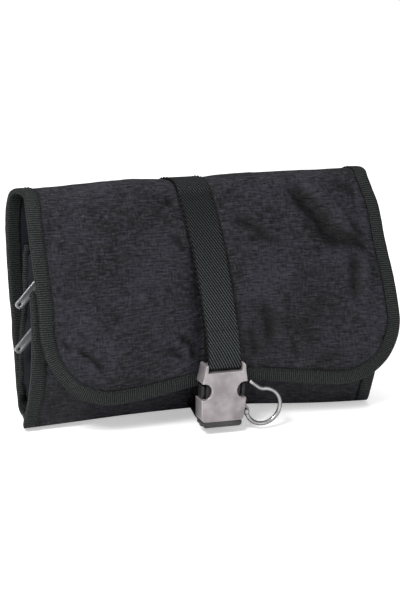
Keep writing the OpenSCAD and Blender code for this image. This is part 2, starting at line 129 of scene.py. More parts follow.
class Profile:
    """A side profile that fabric follows: lays (x, t, h) out in space, t along it and h out of it"""

    def __init__(self, pieces):
        self.pieces = pieces
        self.starts = []
        self.length = 0.0
        for piece in pieces:
            self.starts.append(self.length)
            self.length += self.length_of(piece)

    @staticmethod
    def length_of(piece):
        if piece[0] == "line":
            return math.dist(piece[1], piece[2])
        return abs(math.radians(piece[4] - piece[3])) * piece[2]

    def at(self, x, t, h):
        """Points in metres for arrays of x, t and h in millimetres"""
        x, t, h = np.broadcast_arrays(np.asarray(x, float), np.asarray(t, float), np.asarray(h, float))
        y, z = np.zeros_like(t), np.zeros_like(t)
        lows = [-math.inf, *self.starts[1:]]
        highs = [*self.starts[1:], math.inf]
        for piece, start, low, high in zip(self.pieces, self.starts, lows, highs):
            here = (t >= low) & (t < high)
            run = t[here] - start
            if piece[0] == "line":
                _, first, last = piece
                ahead = (np.array(last) - np.array(first)) / math.dist(first, last)
                y[here] = first[0] + ahead[0] * run + ahead[1] * h[here]
                z[here] = first[1] + ahead[1] * run - ahead[0] * h[here]
            else:
                _, centre, radius, first, last = piece
                a = np.radians(first) + np.sign(last - first) * run / radius
                y[here] = centre[0] + (radius + h[here]) * np.cos(a)
                z[here] = centre[1] + (radius + h[here]) * np.sin(a)
        return np.stack([x, y, z], -1) * MM


# From the base up the back, over the top fold and down the flap
TOP = Profile([("arc", BASE_C, BASE_R, -90, 0), ("line", (BACK_Y, BASE_C[1]), (BACK_Y, FOLD_C[1])),
               ("arc", FOLD_C, FOLD_R, 0, FOLD_END), ("arc", FLAP_C, FLAP_R, FOLD_END, FLAP_END)])
# From the base's rear edge forward, round the foot and up the front panel. The base runs towards -Y with
# its out side down, so it is an arc of a very wide radius.
WIDE = 1.0e6
FRONT = Profile([("arc", (BASE_C[0], WIDE), WIDE, -90, -90 - math.degrees((BASE_C[0] - FOOT_C[0]) / WIDE)),
                 ("arc", FOOT_C, FOOT_R, 270, FOOT_A), ("arc", FRONT_C, FRONT_R, FOOT_A, FRONT_TOP_A)])
FOLD_T = TOP.starts[3]
FOOT_T = FRONT.starts[2]

# How the soft bag has slumped, in millimetres. A SPAN is where an easing starts and ends: ACROSS from the
# middle, DOWN from the end of the top fold, UP from the start of the profile, or FOOT from the end of the
# front panel's foot. A REACH is a bell curve's width, on the left and on the right where it has two.
# The strap's run down the flap with its bow, and the base that it pulls up
STRAP_RUN, STRAP_BOW = 105.5, 1.5
BASE_LIFT, BASE_REACH = 6.5, (115.0, 75.0)
BASE_UP_SPAN, BASE_FOOT_SPAN = (4, 32), (2, 40)
# The back's lean at its foot and under the top fold, from and over these heights, and its swell
BACK_LEAN, BACK_LEAN_FROM, BACK_LEAN_RUN, BACK_LEAN_DOWN_SPAN = (5.0, -6.0), 10, 120, (-34, -8)
BACK_SWELL, BACK_UP_SPAN, BACK_DOWN_SPAN = 6.0, (26, 120), (-42, -6)
# How the flap's drift starts, and the lean of the front panel's foot
DRIFT_START, DRIFT_GAIN = 12, 1.09
FOOT_LEAN_RIGHT, FOOT_LEAN_LEFT, FOOT_ACROSS_SPAN = 2.0, -2.8, (30, 127)
# The flap's right corner spreads and stands out, and the front of the top fold is drawn in at its right end
SPREAD, SPREAD_ACROSS_SPAN, SPREAD_DOWN_SPAN = 5.0, (30, 126), (20, 88)
FLARE, FLARE_ACROSS_SPAN, FLARE_DOWN_SPAN = 4.0, (45, 130), (40, 115)
SHOULDER, SHOULDER_ACROSS_SPAN, SHOULDER_FROM, SHOULDER_REACH = 4.6, (60, 128), 5, (9.0, 15.0)
# The strap draws the hem up, and the fold has sunk at its left end and under the strap
HEM_PULL, HEM_REACH, HEM_DOWN_SPAN = 11.0, (55.0, 68.0), (50, 140)
SINK_LEFT, SINK_ACROSS_SPAN, SINK_STRAP, SINK_REACH = 4.5, (20, 128), 2.6, 26
SINK_DOWN_SPAN, SINK_END_DOWN_SPAN = (-46, -18), (-14, 16)
# Where the width changes from the panel's to the flap's
WIDTH_DOWN_SPAN = (-25, 10)


def ease(v, low, high):
    """Smooth step from 0 at low to 1 at high"""
    f = np.clip((np.asarray(v, float) - low) / (high - low), 0, 1)
    return f * f * (3 - 2 * f)


def bell(v, left, right=None):
    """Bell curve of height 1 about 0, with its width on the left and on the right"""
    return np.exp(-(v / np.where(v < 0, left, right or left)) ** 2)


def strap_middle(t):
    """Middle of the strap along the top profile, a slack curve"""
    f = np.clip((np.asarray(t, float) - FOLD_T) / STRAP_RUN, 0, 1)
    return -sizes().strap_shift * (1 - f) ** 2 + STRAP_BOW * f * (1 - f)


def base_pull(x):
    """How far the strap pulls the base up about the middle"""
    return BASE_LIFT * bell(x, *BASE_REACH)


def back_drift(t):
    """Sideways lean of the back panel: right at the base, left below the top fold"""
    foot, head = BACK_LEAN
    z = t - TOP.starts[1] + BASE_R
    lean = np.clip(foot - (foot - head) * (z - BACK_LEAN_FROM) / BACK_LEAN_RUN, head, foot)
    return lean * (1 - ease(t - FOLD_T, *BACK_LEAN_DOWN_SPAN))


def flap_drift(t):
    """Drift of the flap to the right, growing towards its hem"""
    size = sizes()
    s = np.clip(t - FOLD_T, 0, None)
    return size.flap_skew * s * s / (s + DRIFT_START) / size.flap_length * DRIFT_GAIN


def slump(profile, x, t):
    """How a soft panel leaves its even profile: sideways, along and outwards"""
    x, t = np.broadcast_arrays(np.asarray(x, float), np.asarray(t, float))
    if profile is FRONT:
        foot = FOOT_LEAN_RIGHT + (FOOT_LEAN_LEFT - FOOT_LEAN_RIGHT) * ease(-x, *FOOT_ACROSS_SPAN)
        aside = BACK_LEAN[0] + (foot - BACK_LEAN[0]) * ease(t, 0, FOOT_T)
        return aside, 0.0, -base_pull(x) * (1 - ease(t - FOOT_T, *BASE_FOOT_SPAN))
    s = t - FOLD_T
    aside = flap_drift(t) + back_drift(t) + SPREAD * ease(x, *SPREAD_ACROSS_SPAN) * ease(s, *SPREAD_DOWN_SPAN)
    aside = aside - SHOULDER * ease(x, *SHOULDER_ACROSS_SPAN) * bell(s + SHOULDER_FROM, *SHOULDER_REACH)
    out = FLARE * ease(x, *FLARE_ACROSS_SPAN) * ease(s, *FLARE_DOWN_SPAN)
    out -= base_pull(x) * (1 - ease(t, *BASE_UP_SPAN))
    out += BACK_SWELL * ease(t, *BACK_UP_SPAN) * (1 - ease(s, *BACK_DOWN_SPAN))
    sunk = SINK_LEFT * ease(-x, *SINK_ACROSS_SPAN) + SINK_STRAP * bell(x - strap_middle(t), SINK_REACH)
    out -= sunk * ease(s, *SINK_DOWN_SPAN) * (1 - ease(s, *SINK_END_DOWN_SPAN))
    return aside, -HEM_PULL * bell(x, *HEM_REACH) * ease(s, *HEM_DOWN_SPAN), out


def lay(profile, x, t, h):
    """Points in metres on a slumped panel"""
    aside, along, out = slump(profile, x, t)
    return profile.at(x + aside, t + along, h + out)


def top_half_width(t):
    """Half of the fabric's width along the top profile"""
    size = sizes()
    t = np.asarray(t, float)
    wider = (size.flap_width - size.panel_width) / 2
    half = size.panel_width / 2 + wider * ease(t - FOLD_T, *WIDTH_DOWN_SPAN)
    r, end = size.corner_radius, FOLD_T + size.flap_length
    below = np.clip(t - (end - r), 0, r)
    return half - r + np.sqrt(np.clip(r * r - below * below, 0, None))


# Node helpers

FLOAT, VECTOR = "NodeSocketFloat", "NodeSocketVector"


class Value:
    """A value in a shader tree: arithmetic on it adds Math nodes"""

    def __init__(self, tree, socket):
        self.tree = tree
        self.socket = socket

    def maths(self, operation, other=0.0):
        return Value(self.tree, put(self.tree, "ShaderNodeMath", {0: self, 1: other}, operation=operation)[0])

    def __add__(self, other):
        return self.maths("ADD", other)

    def __sub__(self, other):
        return self.maths("SUBTRACT", other)

    def __mul__(self, other):
        return self.maths("MULTIPLY", other)

    def __abs__(self):
        return self.maths("ABSOLUTE")

    def sine(self):
        return self.maths("SINE")

    def spread(self, low, high, to_low=0.0, to_high=1.0):
        """The value mapped from one range to another"""
        ends = {0: self, 1: low, 2: high, 3: to_low, 4: to_high}
        return Value(self.tree, put(self.tree, "ShaderNodeMapRange", ends)[0])


def feed(tree, value, socket):
    """Links a value to a socket, or sets it there"""
    value = getattr(value, "socket", value)
    if isinstance(value, bpy.types.NodeSocket):
        tree.links.new(value, socket)
    else:
        socket.default_value = value


def put(tree, kind, inputs=None, **settings):
    """Adds a node, sets its fields, fills its inputs with values or links, and gives its outputs"""
    made = tree.nodes.new(kind)
    for key, value in settings.items():
        setattr(made, key, value)
    for key, value in (inputs or {}).items():
        feed(tree, value, made.inputs[key])
    return made.outputs


def vectors(tree, operation, a, b):
    """A Vector Math node's outputs"""
    return put(tree, "ShaderNodeVectorMath", {0: a, 1: b}, operation=operation)


def parts(tree, vector):
    """The parts of a vector"""
    return [Value(tree, part) for part in put(tree, "ShaderNodeSeparateXYZ", {0: vector})]


def cloud(tree, vector, scale, detail, rough=0.5):
    """Noise over a vector"""
    inputs = {"Vector": vector, "Scale": scale, "Detail": detail, "Roughness": rough}
    return Value(tree, put(tree, "ShaderNodeTexNoise", inputs)[0])


def add_inputs(tree, inputs):
    """Adds named inputs to a tree, each with its default, a number or a vector"""
    for label, default in inputs.items():
        kind = FLOAT if isinstance(default, float) else VECTOR
        tree.interface.new_socket(label, in_out="INPUT", socket_type=kind).default_value = default


def new_group(name, outputs, **inputs):
    """An empty shader node group over a vector: its tree, what it is given, and the sockets that it fills"""
    tree = bpy.data.node_groups.new(name, "ShaderNodeTree")
    tree.interface.new_socket("Vector", in_out="INPUT", socket_type=VECTOR)
    add_inputs(tree, inputs)
    for label in outputs:
        tree.interface.new_socket(label, in_out="OUTPUT", socket_type=FLOAT)
    given = {socket.name: Value(tree, socket) for socket in tree.nodes.new("NodeGroupInput").outputs}
    return tree, given, tree.nodes.new("NodeGroupOutput").inputs


def crinkle_group():
    """Creases of washed nylon: long across the cloth, short along it"""
    warp_reach, ridge_depth, fine_depth, slow_share = (1.6, 1.6, 0.0), -1.7, 0.42, 0.65
    tree, given, out = new_group("Crinkle", ["Height", "Tone"], Across=7.0, Along=22.0)
    scale = put(tree, "ShaderNodeCombineXYZ", {0: given["Across"], 1: given["Along"], 2: 1.0})[0]
    flat = vectors(tree, "MULTIPLY", given["Vector"], scale)[0]
    warp = put(tree, "ShaderNodeTexNoise", {"Vector": flat, "Scale": 0.6, "Detail": 2.0})["Color"]
    moved = vectors(tree, "ADD", flat, vectors(tree, "MULTIPLY", warp, warp_reach)[0])[0]
    broad = cloud(tree, moved, scale=1.0, detail=3.0, rough=0.55)
    fine = cloud(tree, moved, scale=3.1, detail=4.0, rough=0.6)
    slow = cloud(tree, given["Vector"], scale=2.2, detail=3.0)
    feed(tree, abs(broad - 0.5) * ridge_depth + fine * fine_depth, out["Height"])
    feed(tree, slow * slow_share + fine * (1 - slow_share), out["Tone"])


def weave_group():
    """Plain weave: threads over and under each other"""
    tree, given, out = new_group("Plain weave", ["Height"], Threads=160.0)
    across, along, _ = parts(tree, given["Vector"])
    turns = given["Threads"] * math.tau
    feed(tree, (across * turns).sine() * (along * turns).sine() * 0.5 + 0.5, out["Height"])


def slub_group():
    """Uneven threads: short streaks across and along the cloth"""
    across_share = 0.6
    tree, given, out = new_group("Slub threads", ["Tone"], Across=(15.0, 84.0, 1.0), Along=(78.0, 20.0, 1.0))
    flats = [vectors(tree, "MULTIPLY", given["Vector"], given[way])[0] for way in ("Across", "Along")]
    across, along = [cloud(tree, flat, scale=1.0, detail=2.0) for flat in flats]
    feed(tree, across * across_share + along * (1 - across_share), out["Tone"])


def twill_group():
    """Twill: slanted ridges, broken along each thread"""
    ridge_height, thread_height = 0.4, 0.1
    tree, given, out = new_group("Twill", ["Height"], Ridges=60.0, Slant=0.8)
    across, along, _ = parts(tree, given["Vector"])
    turns = given["Ridges"] * math.tau
    ridge = ((along * given["Slant"] + across) * turns).sine()
    thread = (across * (turns * 2.0)).sine()
    feed(tree, ridge * ridge_height + (thread * thread_height + 0.5), out["Height"])


def rib_group():
    """Grosgrain: round ribs across the tape, with a slight unevenness"""
    wobble_turn, rib_height = 1.5, 0.45
    tree, given, out = new_group("Grosgrain", ["Height"], Ribs=90.0)
    _, along, _ = parts(tree, given["Vector"])
    wobble = cloud(tree, given["Vector"], scale=60.0, detail=2.0)
    rib = (wobble * wobble_turn + along * (given["Ribs"] * math.tau)).sine()
    feed(tree, rib * rib_height + 0.5, out["Height"])


def mottle_group():
    """Slow change of tone with fine specks, from handling and dust"""
    finer = 14.0
    tree, given, out = new_group("Mottle", ["Tone", "Specks"], Scale=20.0)
    feed(tree, cloud(tree, given["Vector"], given["Scale"], detail=3.0), out["Tone"])
    feed(tree, cloud(tree, given["Vector"], given["Scale"] * finer, detail=2.0), out["Specks"])


def shared(tree, name, vector, **inputs):
    """What a placed copy of a shared group gives over a vector"""
    outputs = put(tree, "ShaderNodeGroup", {"Vector": vector, **inputs}, node_tree=bpy.data.node_groups[name])
    return {socket.name: Value(tree, socket) for socket in outputs}


def start_material(name, **constants):
    """A new material's tree and the inputs of its Principled shader, with constants set on them"""
    made = bpy.data.materials.new(f"bag_{name}")
    made.use_nodes = True
    shader = made.node_tree.nodes["Principled BSDF"].inputs
    for key, value in constants.items():
        shader[key.replace("_", " ")].default_value = value
    return made.node_tree, shader


def toned(tree, shader, base, factor, dark, light):
    """Base colour between two shades of one colour"""
    low, high = [(*[min(1.0, v * times) for v in base], 1) for times in (dark, light)]
    mix = put(tree, "ShaderNodeMix", {0: factor, 6: low, 7: high}, data_type="RGBA", clamp_factor=True)
    feed(tree, mix[2], shader["Base Color"])


def bumped(tree, shader, *layers, after=None):
    """Bumps over each other, each a height, distance and strength, that feed the shader's normal"""
    for height, distance, strength in layers:
        inputs = {"Height": height, "Distance": distance, "Strength": strength}
        if after is not None:
            inputs["Normal"] = after
        after = put(tree, "ShaderNodeBump", inputs)[0]
    feed(tree, after, shader["Normal"])


def uv(tree):
    """Place on the cloth, in units of 100 mm"""
    return put(tree, "ShaderNodeUVMap", uv_map="Cloth")[0]


def place(tree):
    """Place in the object's own frame"""
    return put(tree, "ShaderNodeTexCoord")["Object"]


def make_shell_fabric(base):
    """Crinkled nylon with uneven threads, with painted shade in its fold hollows and along tape and strap"""
    slub_share, painted_shade_strength = 0.62, -0.95
    tree, shader = start_material("shell_fabric", Specular_IOR_Level=0.26)
    crease = shared(tree, "Crinkle", uv(tree), Across=6.5, Along=17.0)
    slub = shared(tree, "Slub threads", uv(tree))["Tone"]
    weave = shared(tree, "Plain weave", uv(tree), Threads=170.0)["Height"]
    # Painted shade: a stored attribute darkens the colour in the folds' hollows and along tape and strap
    painted_shade = Value(tree, put(tree, "ShaderNodeAttribute", attribute_name="Painted shade")["Fac"])
    thread = slub * slub_share + crease["Tone"] * (1 - slub_share)
    tone = (painted_shade * painted_shade_strength + 1.0) * thread.spread(0.43, 0.59)
    toned(tree, shader, base, tone, dark=0.15, light=2.4)
    feed(tree, thread.spread(0.35, 0.65, 0.64, 0.44), shader["Roughness"])
    bumped(tree, shader, (crease["Height"], 0.0021, 1.0), (slub, 0.0006, 0.7), (weave, 0.00006, 0.5))


def make_lining_fabric(base):
    """Plain woven lining with soft creases"""
    tree, shader = start_material("lining_fabric", Specular_IOR_Level=0.2)
    weave = shared(tree, "Plain weave", uv(tree), Threads=120.0)["Height"]
    crease = shared(tree, "Crinkle", uv(tree), Across=6.0, Along=9.0)
    toned(tree, shader, base, crease["Tone"], dark=0.75, light=1.3)
    feed(tree, crease["Tone"].spread(0.3, 0.7, 0.72, 0.58), shader["Roughness"])
    bumped(tree, shader, (crease["Height"], 0.0006, 0.6), (weave, 0.00008, 0.6))


def make_binding_tape(base):
    """Ribbed tape, with painted shade along its inner edge"""
    speck_share = 0.6
    tree, shader = start_material("binding_tape", Specular_IOR_Level=0.22)
    rib = shared(tree, "Grosgrain", uv(tree), Ribs=66.0)["Height"]
    specks = shared(tree, "Mottle", uv(tree), Scale=6.0)["Specks"]
    tone = specks * speck_share + rib * (1 - speck_share)
    # Painted shade: a dark band along the tape's inner edge
    painted_edge_shade = parts(tree, uv(tree))[0].spread(0.007, 0.016)
    toned(tree, shader, base, painted_edge_shade * tone.spread(0.42, 0.64), dark=0.04, light=3.1)
    feed(tree, specks.spread(0.3, 0.7, 0.72, 0.42), shader["Roughness"])
    bumped(tree, shader, (specks, 0.0004, 0.6), (rib, 0.0004, 0.9))


def make_webbing(base):
    """Twill webbing, darker along its two edges, with a painted sheen growing paler towards the buckle and a
    painted shadow where it turns in at the buckle's bar
    """
    speck_share = 0.25
    tree, shader = start_material("webbing", Specular_IOR_Level=0.2)
    twill = shared(tree, "Twill", uv(tree), Ridges=50.0, Slant=-0.55)["Height"]
    specks = shared(tree, "Mottle", uv(tree), Scale=6.0)["Specks"]
    across, along, _ = parts(tree, uv(tree))
    darker_edges = abs(across).spread(0.108, 0.122, 1.0, 0.0)
    # Painted sheen, paler down the flap towards the buckle, and painted shadow where the strap turns in at
    # the buckle's bar
    painted_sheen_and_shadow = along.spread(1.9, 3.0, 0.42, 1.25) * along.spread(3.07, 3.10, 1.0, 0.2)
    tone = specks * speck_share + twill * (1 - speck_share)
    toned(tree, shader, base, darker_edges * (painted_sheen_and_shadow * tone.spread(0.5, 0.64)), dark=0.01, light=4.4)
    feed(tree, twill.spread(0.2, 0.8, 0.8, 0.36), shader["Roughness"])
    bumped(tree, shader, (twill, 0.0006, 0.9))


def make_thread(name, base, scale, dark, light, **constants):
    """Thread of one colour with slight soil"""
    tree, shader = start_material(name, **constants)
    soil = shared(tree, "Mottle", place(tree), Scale=scale)
    toned(tree, shader, base, soil["Tone"], dark, light)
    return tree, shader, soil["Specks"]


def make_zip_cloth(base):
    """Coiled teeth, glossier where they have specks, and woven zip tape"""
    tree, shader, specks = make_thread("zip_teeth", base, 500.0, dark=0.8, light=1.9, Specular_IOR_Level=0.5)
    feed(tree, specks.spread(0.3, 0.7, 0.45, 0.3), shader["Roughness"])
    tree, shader = start_material("zip_tape", Specular_IOR_Level=0.3)
    twill = shared(tree, "Twill", uv(tree), Ridges=110.0, Slant=1.0)["Height"]
    toned(tree, shader, base, twill, dark=0.7, light=1.6)
    feed(tree, twill.spread(0.0, 1.0, 0.75, 0.6), shader["Roughness"])
    bumped(tree, shader, (twill, 0.00012, 0.7))


def make_moulded(name, base, rough, metal, light):
    """Satin moulding, with a painted highlight along its rounded rims"""
    painted_rim_highlight = 0.8
    tree, shader = start_material(name, Specular_IOR_Level=0.5, Metallic=metal)
    soil = shared(tree, "Mottle", place(tree), Scale=90.0)
    soft = put(tree, "ShaderNodeBevel", {"Radius": 0.0011}, samples=8)[0]
    flat = put(tree, "ShaderNodeNewGeometry")["Normal"]
    turn = Value(tree, vectors(tree, "DOT_PRODUCT", soft, flat)["Value"])
    # Painted highlight: paler where the rounded rims turn away from the flat faces
    tone = turn.spread(0.98, 0.86) * painted_rim_highlight + soil["Tone"].spread(0.35, 0.65, 0.0, 0.4)
    toned(tree, shader, base, tone, dark=0.76, light=light)
    feed(tree, soil["Specks"].spread(0.3, 0.7, rough - 0.06, rough + 0.08), shader["Roughness"])
    bumped(tree, shader, (soil["Specks"], 0.00003, 0.6), after=soft)


def make_metal(name, base, rough, rim):
    """Satin metal, with a painted dark reflection towards its rims that follows the view"""
    soil_share, even_share = 0.3, 0.6
    tree, shader = start_material(name, Metallic=0.85)
    soil = shared(tree, "Mottle", place(tree), Scale=150.0)
    # Painted reflection: the colour darkens towards the rims by the view angle
    facing = Value(tree, put(tree, "ShaderNodeLayerWeight", {"Blend": 0.5})["Facing"])
    tone = facing * -rim + (soil["Tone"] * soil_share + even_share)
    toned(tree, shader, base, tone, dark=0.15, light=1.25)
    feed(tree, soil["Specks"].spread(0.3, 0.7, rough - 0.07, rough + 0.1), shader["Roughness"])
    bumped(tree, shader, (soil["Specks"], 0.00002, 0.5))


class BAG_OT_finishes(bpy.types.Operator):
    """Makes the shared shader groups and every material of the bag"""
    bl_idname = "bag.finishes"
    bl_label = "Finishes"

    def execute(self, context):
        for build in (crinkle_group, weave_group, slub_group, twill_group, rib_group, mottle_group):
            build()
        base = context.scene.bag_colours
        make_shell_fabric(base.shell)
        make_lining_fabric(base.lining)
        make_binding_tape(base.binding)
        make_webbing(base.webbing)
        make_thread("thread", base.thread, 900.0, dark=0.6, light=1.7, Roughness=0.55, Specular_IOR_Level=0.3)
        make_thread("net_thread", base.net, 600.0, dark=0.6, light=1.5, Roughness=0.6)
        make_zip_cloth(base.zip_tape)
        make_moulded("buckle_satin", base.buckle, rough=0.36, metal=0.45, light=1.95)
        make_moulded("plug_satin", base.plug, rough=0.44, metal=0.0, light=3.6)
        # The catches' dark colour is painted shade for the inside of the socket
        make_moulded("catch_satin", base.catch, rough=0.5, metal=0.0, light=4.0)
        # rim sets how dark the painted reflection at the rims is
        make_metal("hook_wire", base.wire, rough=0.30, rim=1.5)
        make_metal("zip_metal", base.zip_metal, rough=0.36, rim=0.35)
        return {"FINISHED"}


# Mesh helpers

def material(name):
    """One of the bag's materials"""
    return bpy.data.materials[f"bag_{name}"]


def added(name, data):
    """A new object in the scene, at the origin"""
    made = bpy.data.objects.new(name, data)
    bpy.context.scene.collection.objects.link(made)
    return made


def evaluated(made):
    """An object's mesh as its modifiers leave it, as a mesh of its own"""
    return bpy.data.meshes.new_from_object(made.evaluated_get(bpy.context.evaluated_depsgraph_get()))


def together(*arrays):
    """Arrays of one shape, or that spread to one, stacked as the coordinates of points"""
    return np.stack(np.broadcast_arrays(*arrays), -1)


def map_cloth(mesh, flat):
    """A Cloth map in units of 100 mm from each point's place in millimetres"""
    layer = mesh.uv_layers.get("Cloth") or mesh.uv_layers.new(name="Cloth")
    index = np.empty(len(mesh.loops), np.int32)
    mesh.loops.foreach_get("vertex_index", index)
    layer.data.foreach_set("uv", (np.asarray(flat, np.float32)[index] / 100.0).ravel())


def shade_smooth(mesh):
    """Shades every face of a mesh smooth"""
    mesh.polygons.foreach_set("use_smooth", np.ones(len(mesh.polygons), bool))


def make_object(name, points, faces, flat, materials, kinds=None):
    """A smooth mesh object at the origin with its Cloth map and its faces out"""
    mesh = bpy.data.meshes.new(name)
    mesh.from_pydata([tuple(p) for p in points], [], faces)
    for m in materials:
        mesh.materials.append(material(m))
    if kinds is not None:
        mesh.polygons.foreach_set("material_index", np.asarray(kinds, np.int32))
    map_cloth(mesh, flat)
    shade_smooth(mesh)
    work = bmesh.new()
    work.from_mesh(mesh)
    bmesh.ops.recalc_face_normals(work, faces=work.faces)
    if work.calc_volume(signed=True) < 0:
        bmesh.ops.reverse_faces(work, faces=work.faces)
    work.to_mesh(mesh)
    work.free()
    return added(name, mesh)


def slab(name, outer, inner, flat, materials):
    """A closed sheet from two grids of points: its outer face, its inner face and the rim between them"""
    rows, columns = outer.shape[:2]
    points = np.concatenate([outer.reshape(-1, 3), inner.reshape(-1, 3)])
    n = rows * columns
    at = np.arange(n).reshape(rows, columns)
    quad = np.stack([at[:-1, :-1], at[:-1, 1:], at[1:, 1:], at[1:, :-1]], -1).reshape(-1, 4)
    rim = np.concatenate([at[0, :], at[1:, -1], at[-1, -2::-1], at[-2:0:-1, 0]])
    after = np.roll(rim, -1)
    sides = np.stack([rim, rim + n, after + n, after], -1)
    faces = np.concatenate([quad, quad[:, ::-1] + n, sides])
    kinds = np.concatenate([np.zeros(len(quad)), np.ones(len(quad)), np.zeros(len(sides))])
    flats = np.concatenate([flat.reshape(-1, 2)] * 2)
    return make_object(name, points, faces.tolist(), flats, materials, kinds)


def tube(name, rings, flat, finish):
    """A closed skin over rings of points, capped at both ends"""
    rows, columns = rings.shape[:2]
    at = np.arange(rows * columns).reshape(rows, columns)
    low, high = at[:-1], at[1:]
    faces = np.stack([low, np.roll(low, -1, 1), np.roll(high, -1, 1), high], -1).reshape(-1, 4).tolist()
    faces += [at[0][::-1].tolist(), at[-1].tolist()]
    return make_object(name, rings.reshape(-1, 3), faces, flat.reshape(-1, 2), [finish])


def lengths(points):
    """Distance along a row of points, from its first"""
    step = np.linalg.norm(np.diff(points, axis=0), axis=1)
    return np.concatenate([[0.0], np.cumsum(step)])


def spaced(points, step):
    """The same row of points at even steps"""
    run = lengths(points)
    count = max(2, int(round(run[-1] / step)) + 1)
    want = np.linspace(0, run[-1], count)
    return np.stack([np.interp(want, run, points[:, k]) for k in range(points.shape[1])], -1)


def ahead_of(path):
    """The way ahead at each point of a path, of length 1"""
    ahead = np.gradient(path, axis=0)
    return ahead / np.linalg.norm(ahead, axis=1)[:, None]


def wave(x, t, across, along, seed, octaves=3):
    """Smooth noise over the cloth, about -1 to 1"""
    flat = np.stack([np.ravel(x) / across, np.ravel(t) / along], -1)
    value = [noise.fractal(Vector((a, b, seed)), 1.0, 2.0, octaves) for a, b in flat]
    return np.reshape(value, np.shape(x))


def wave_along(run, along, seed, octaves=3):
    """Smooth noise along a line, about -1 to 1"""
    return wave(run, run * 0, along, 1, seed, octaves)


def waves(x, t, layers):
    """Noise in layers, each given as its sizes across and along the cloth, seed and height"""
    return sum(wave(x, t, across, along, seed) * height for across, along, seed, height in layers)


CREASE_SHARPNESS = 9.0


def creases(x, t, layers):
    """Sharp-topped creases in layers like those of waves"""
    return sum(np.exp(-np.abs(wave(x, t, across, along, seed, 2)) * CREASE_SHARPNESS) * height
               for across, along, seed, height in layers)


# Soft folds on the flap: first and last place (x, distance from the top fold), height and width
FLAP_FOLDS = [
    (66, 1, 90, 36, -3.2, 9.0), (82, 0, 106, 33, 2.2, 9.0), (54, 8, 76, 38, 1.6, 9.0),
    (88, 35, 118, 42, -2.2, 7.0), (92, 46, 120, 52, 1.3, 7.0), (102, -3, 117, 6, -1.9, 5.0),
    (104, 25, 115, 33, -1.2, 4.0), (103, 48, 99, 77, -1.8, 6.5), (111, 50, 108, 80, 1.4, 7.0),
    (33, 80, 35, 112, -1.9, 6.5), (42, 80, 44, 112, 1.3, 7.0), (53, 110, 55, 122, -1.3, 4.0),
    (-31, 3, -19, 9, -1.7, 4.5), (-34, 10, -20, 17, 1.0, 4.0), (-31, 27, -21, 37, -1.3, 4.0),
    (17, 18, 41, 30, -1.5, 4.5), (20, 12, 46, 24, 1.0, 4.5), (25, 32, 53, 36, -1.1, 4.0),
    (-31, 101, -22, 113, -1.8, 4.0), (-41, 109, -29, 119, -1.5, 4.0), (-24, 114, -15, 129, -2.0, 4.0),
    (-27, 106, -18, 120, 1.5, 4.0), (-37, 104, -25, 116, 1.2, 4.0), (-118, 92, -110, 101, -1.4, 2.4),
    (-106, 99, -88, 117, -1.8, 2.2), (-102, 97, -85, 114, 1.1, 3.4), (-113, 64, -101, 63.5, -0.8, 2.4),
    (-74, 41.5, -53, 40.5, -0.7, 2.6), (20, 100, 24, 124, -1.6, 4.5), (-70, 66, -40, 63, -0.6, 3.0),
    (60, 62, 92, 58, -0.7, 4.0), (58, 96, 90, 92, -0.6, 4.0), (70, 126, 88, 118, -1.0, 4.0)]
# How far a fold bows, as a share of its length, and between which shares, how much of it on either side of
# its middle keeps its full height, and how softly its ends run out
FOLD_BOW, FOLD_BOW_ENDS, FOLD_FULL, FOLD_RUN_OUT = 0.05, (-0.2, 1.2), 0.28, 0.05


def fold_lift(x, s):
    """Height of the placed folds at (x, s), and how deep it lies in their hollows, for painted shade there"""
    total, painted_shade = np.zeros_like(x), np.zeros_like(x)
    for x0, s0, x1, s1, height, width in FLAP_FOLDS:
        run = np.array([x1 - x0, s1 - s0], float)
        length_of_fold = np.hypot(*run)
        along = ((x - x0) * run[0] + (s - s0) * run[1]) / length_of_fold ** 2
        aside = ((x - x0) * run[1] - (s - s0) * run[0]) / length_of_fold
        bend = aside - FOLD_BOW * length_of_fold * np.sin(np.clip(along, *FOLD_BOW_ENDS) * math.pi)
        taper = np.exp(-np.clip(np.abs(along - 0.5) - FOLD_FULL, 0, None) ** 2 / FOLD_RUN_OUT)
        rise = height * taper * np.exp(-bend ** 2 / (2 * (width / 2) ** 2))
        total += rise
        painted_shade -= np.minimum(rise, 0)
    return total, painted_shade


# Slack of the outer fabric: layers of waves and creases on the top strip and on the front panel
TOP_WAVES = [(60, 34, 3.1, 0.9), (46, 11, 7.7, 0.55), (20, 4.6, 12.4, 0.26)]
TOP_CREASES = [(40, 13, 21.0, 0.45), (30, 8, 33.0, -0.38)]
FRONT_WAVES = [(55, 30, 5.3, 0.8), (40, 9, 9.1, 0.5), (18, 4.6, 15.4, 0.24)]
FRONT_CREASES = [(40, 12, 51.0, 0.4), (30, 8, 63.0, -0.35)]
FRONT_LIFT_LIMITS = (-1.6, 1.2)
# Where slack and folds come free of the tape, the strap, the base and the foot, and what is left of the slack
# under the strap and on the back
FREE_TAPE_SPAN, FREE_STRAP_SPAN, FREE_UP_SPAN, FREE_FOOT_SPAN = (-2, 14), (-1, 9), (4, 26), (-2, 12)
FOLD_TAPE_SPAN, FOLD_STRAP_SPAN, FLAP_DOWN_SPAN = (0, 7), (0, 6), (-16, 8)
STRAP_SLACK, BACK_SLACK = 0.15, 0.55
# The flap's puff from its edge inwards, and the gathers beside the tape
PUFF, PUFF_EDGE_SPAN, PUFF_DOWN_SPAN = 1.1, (6, 40), (-20, 30)
GATHER, GATHER_FROM, GATHER_REACH = 0.5, 2, 4.0
# The even share of the painted shade in the folds' hollows, and the painted shade along tape and strap
PAINTED_SHADE_EVEN, SHADE, TAPE_SHADE_REACH, STRAP_SHADE_REACH = 0.6, 0.6, 1.1, 1.6


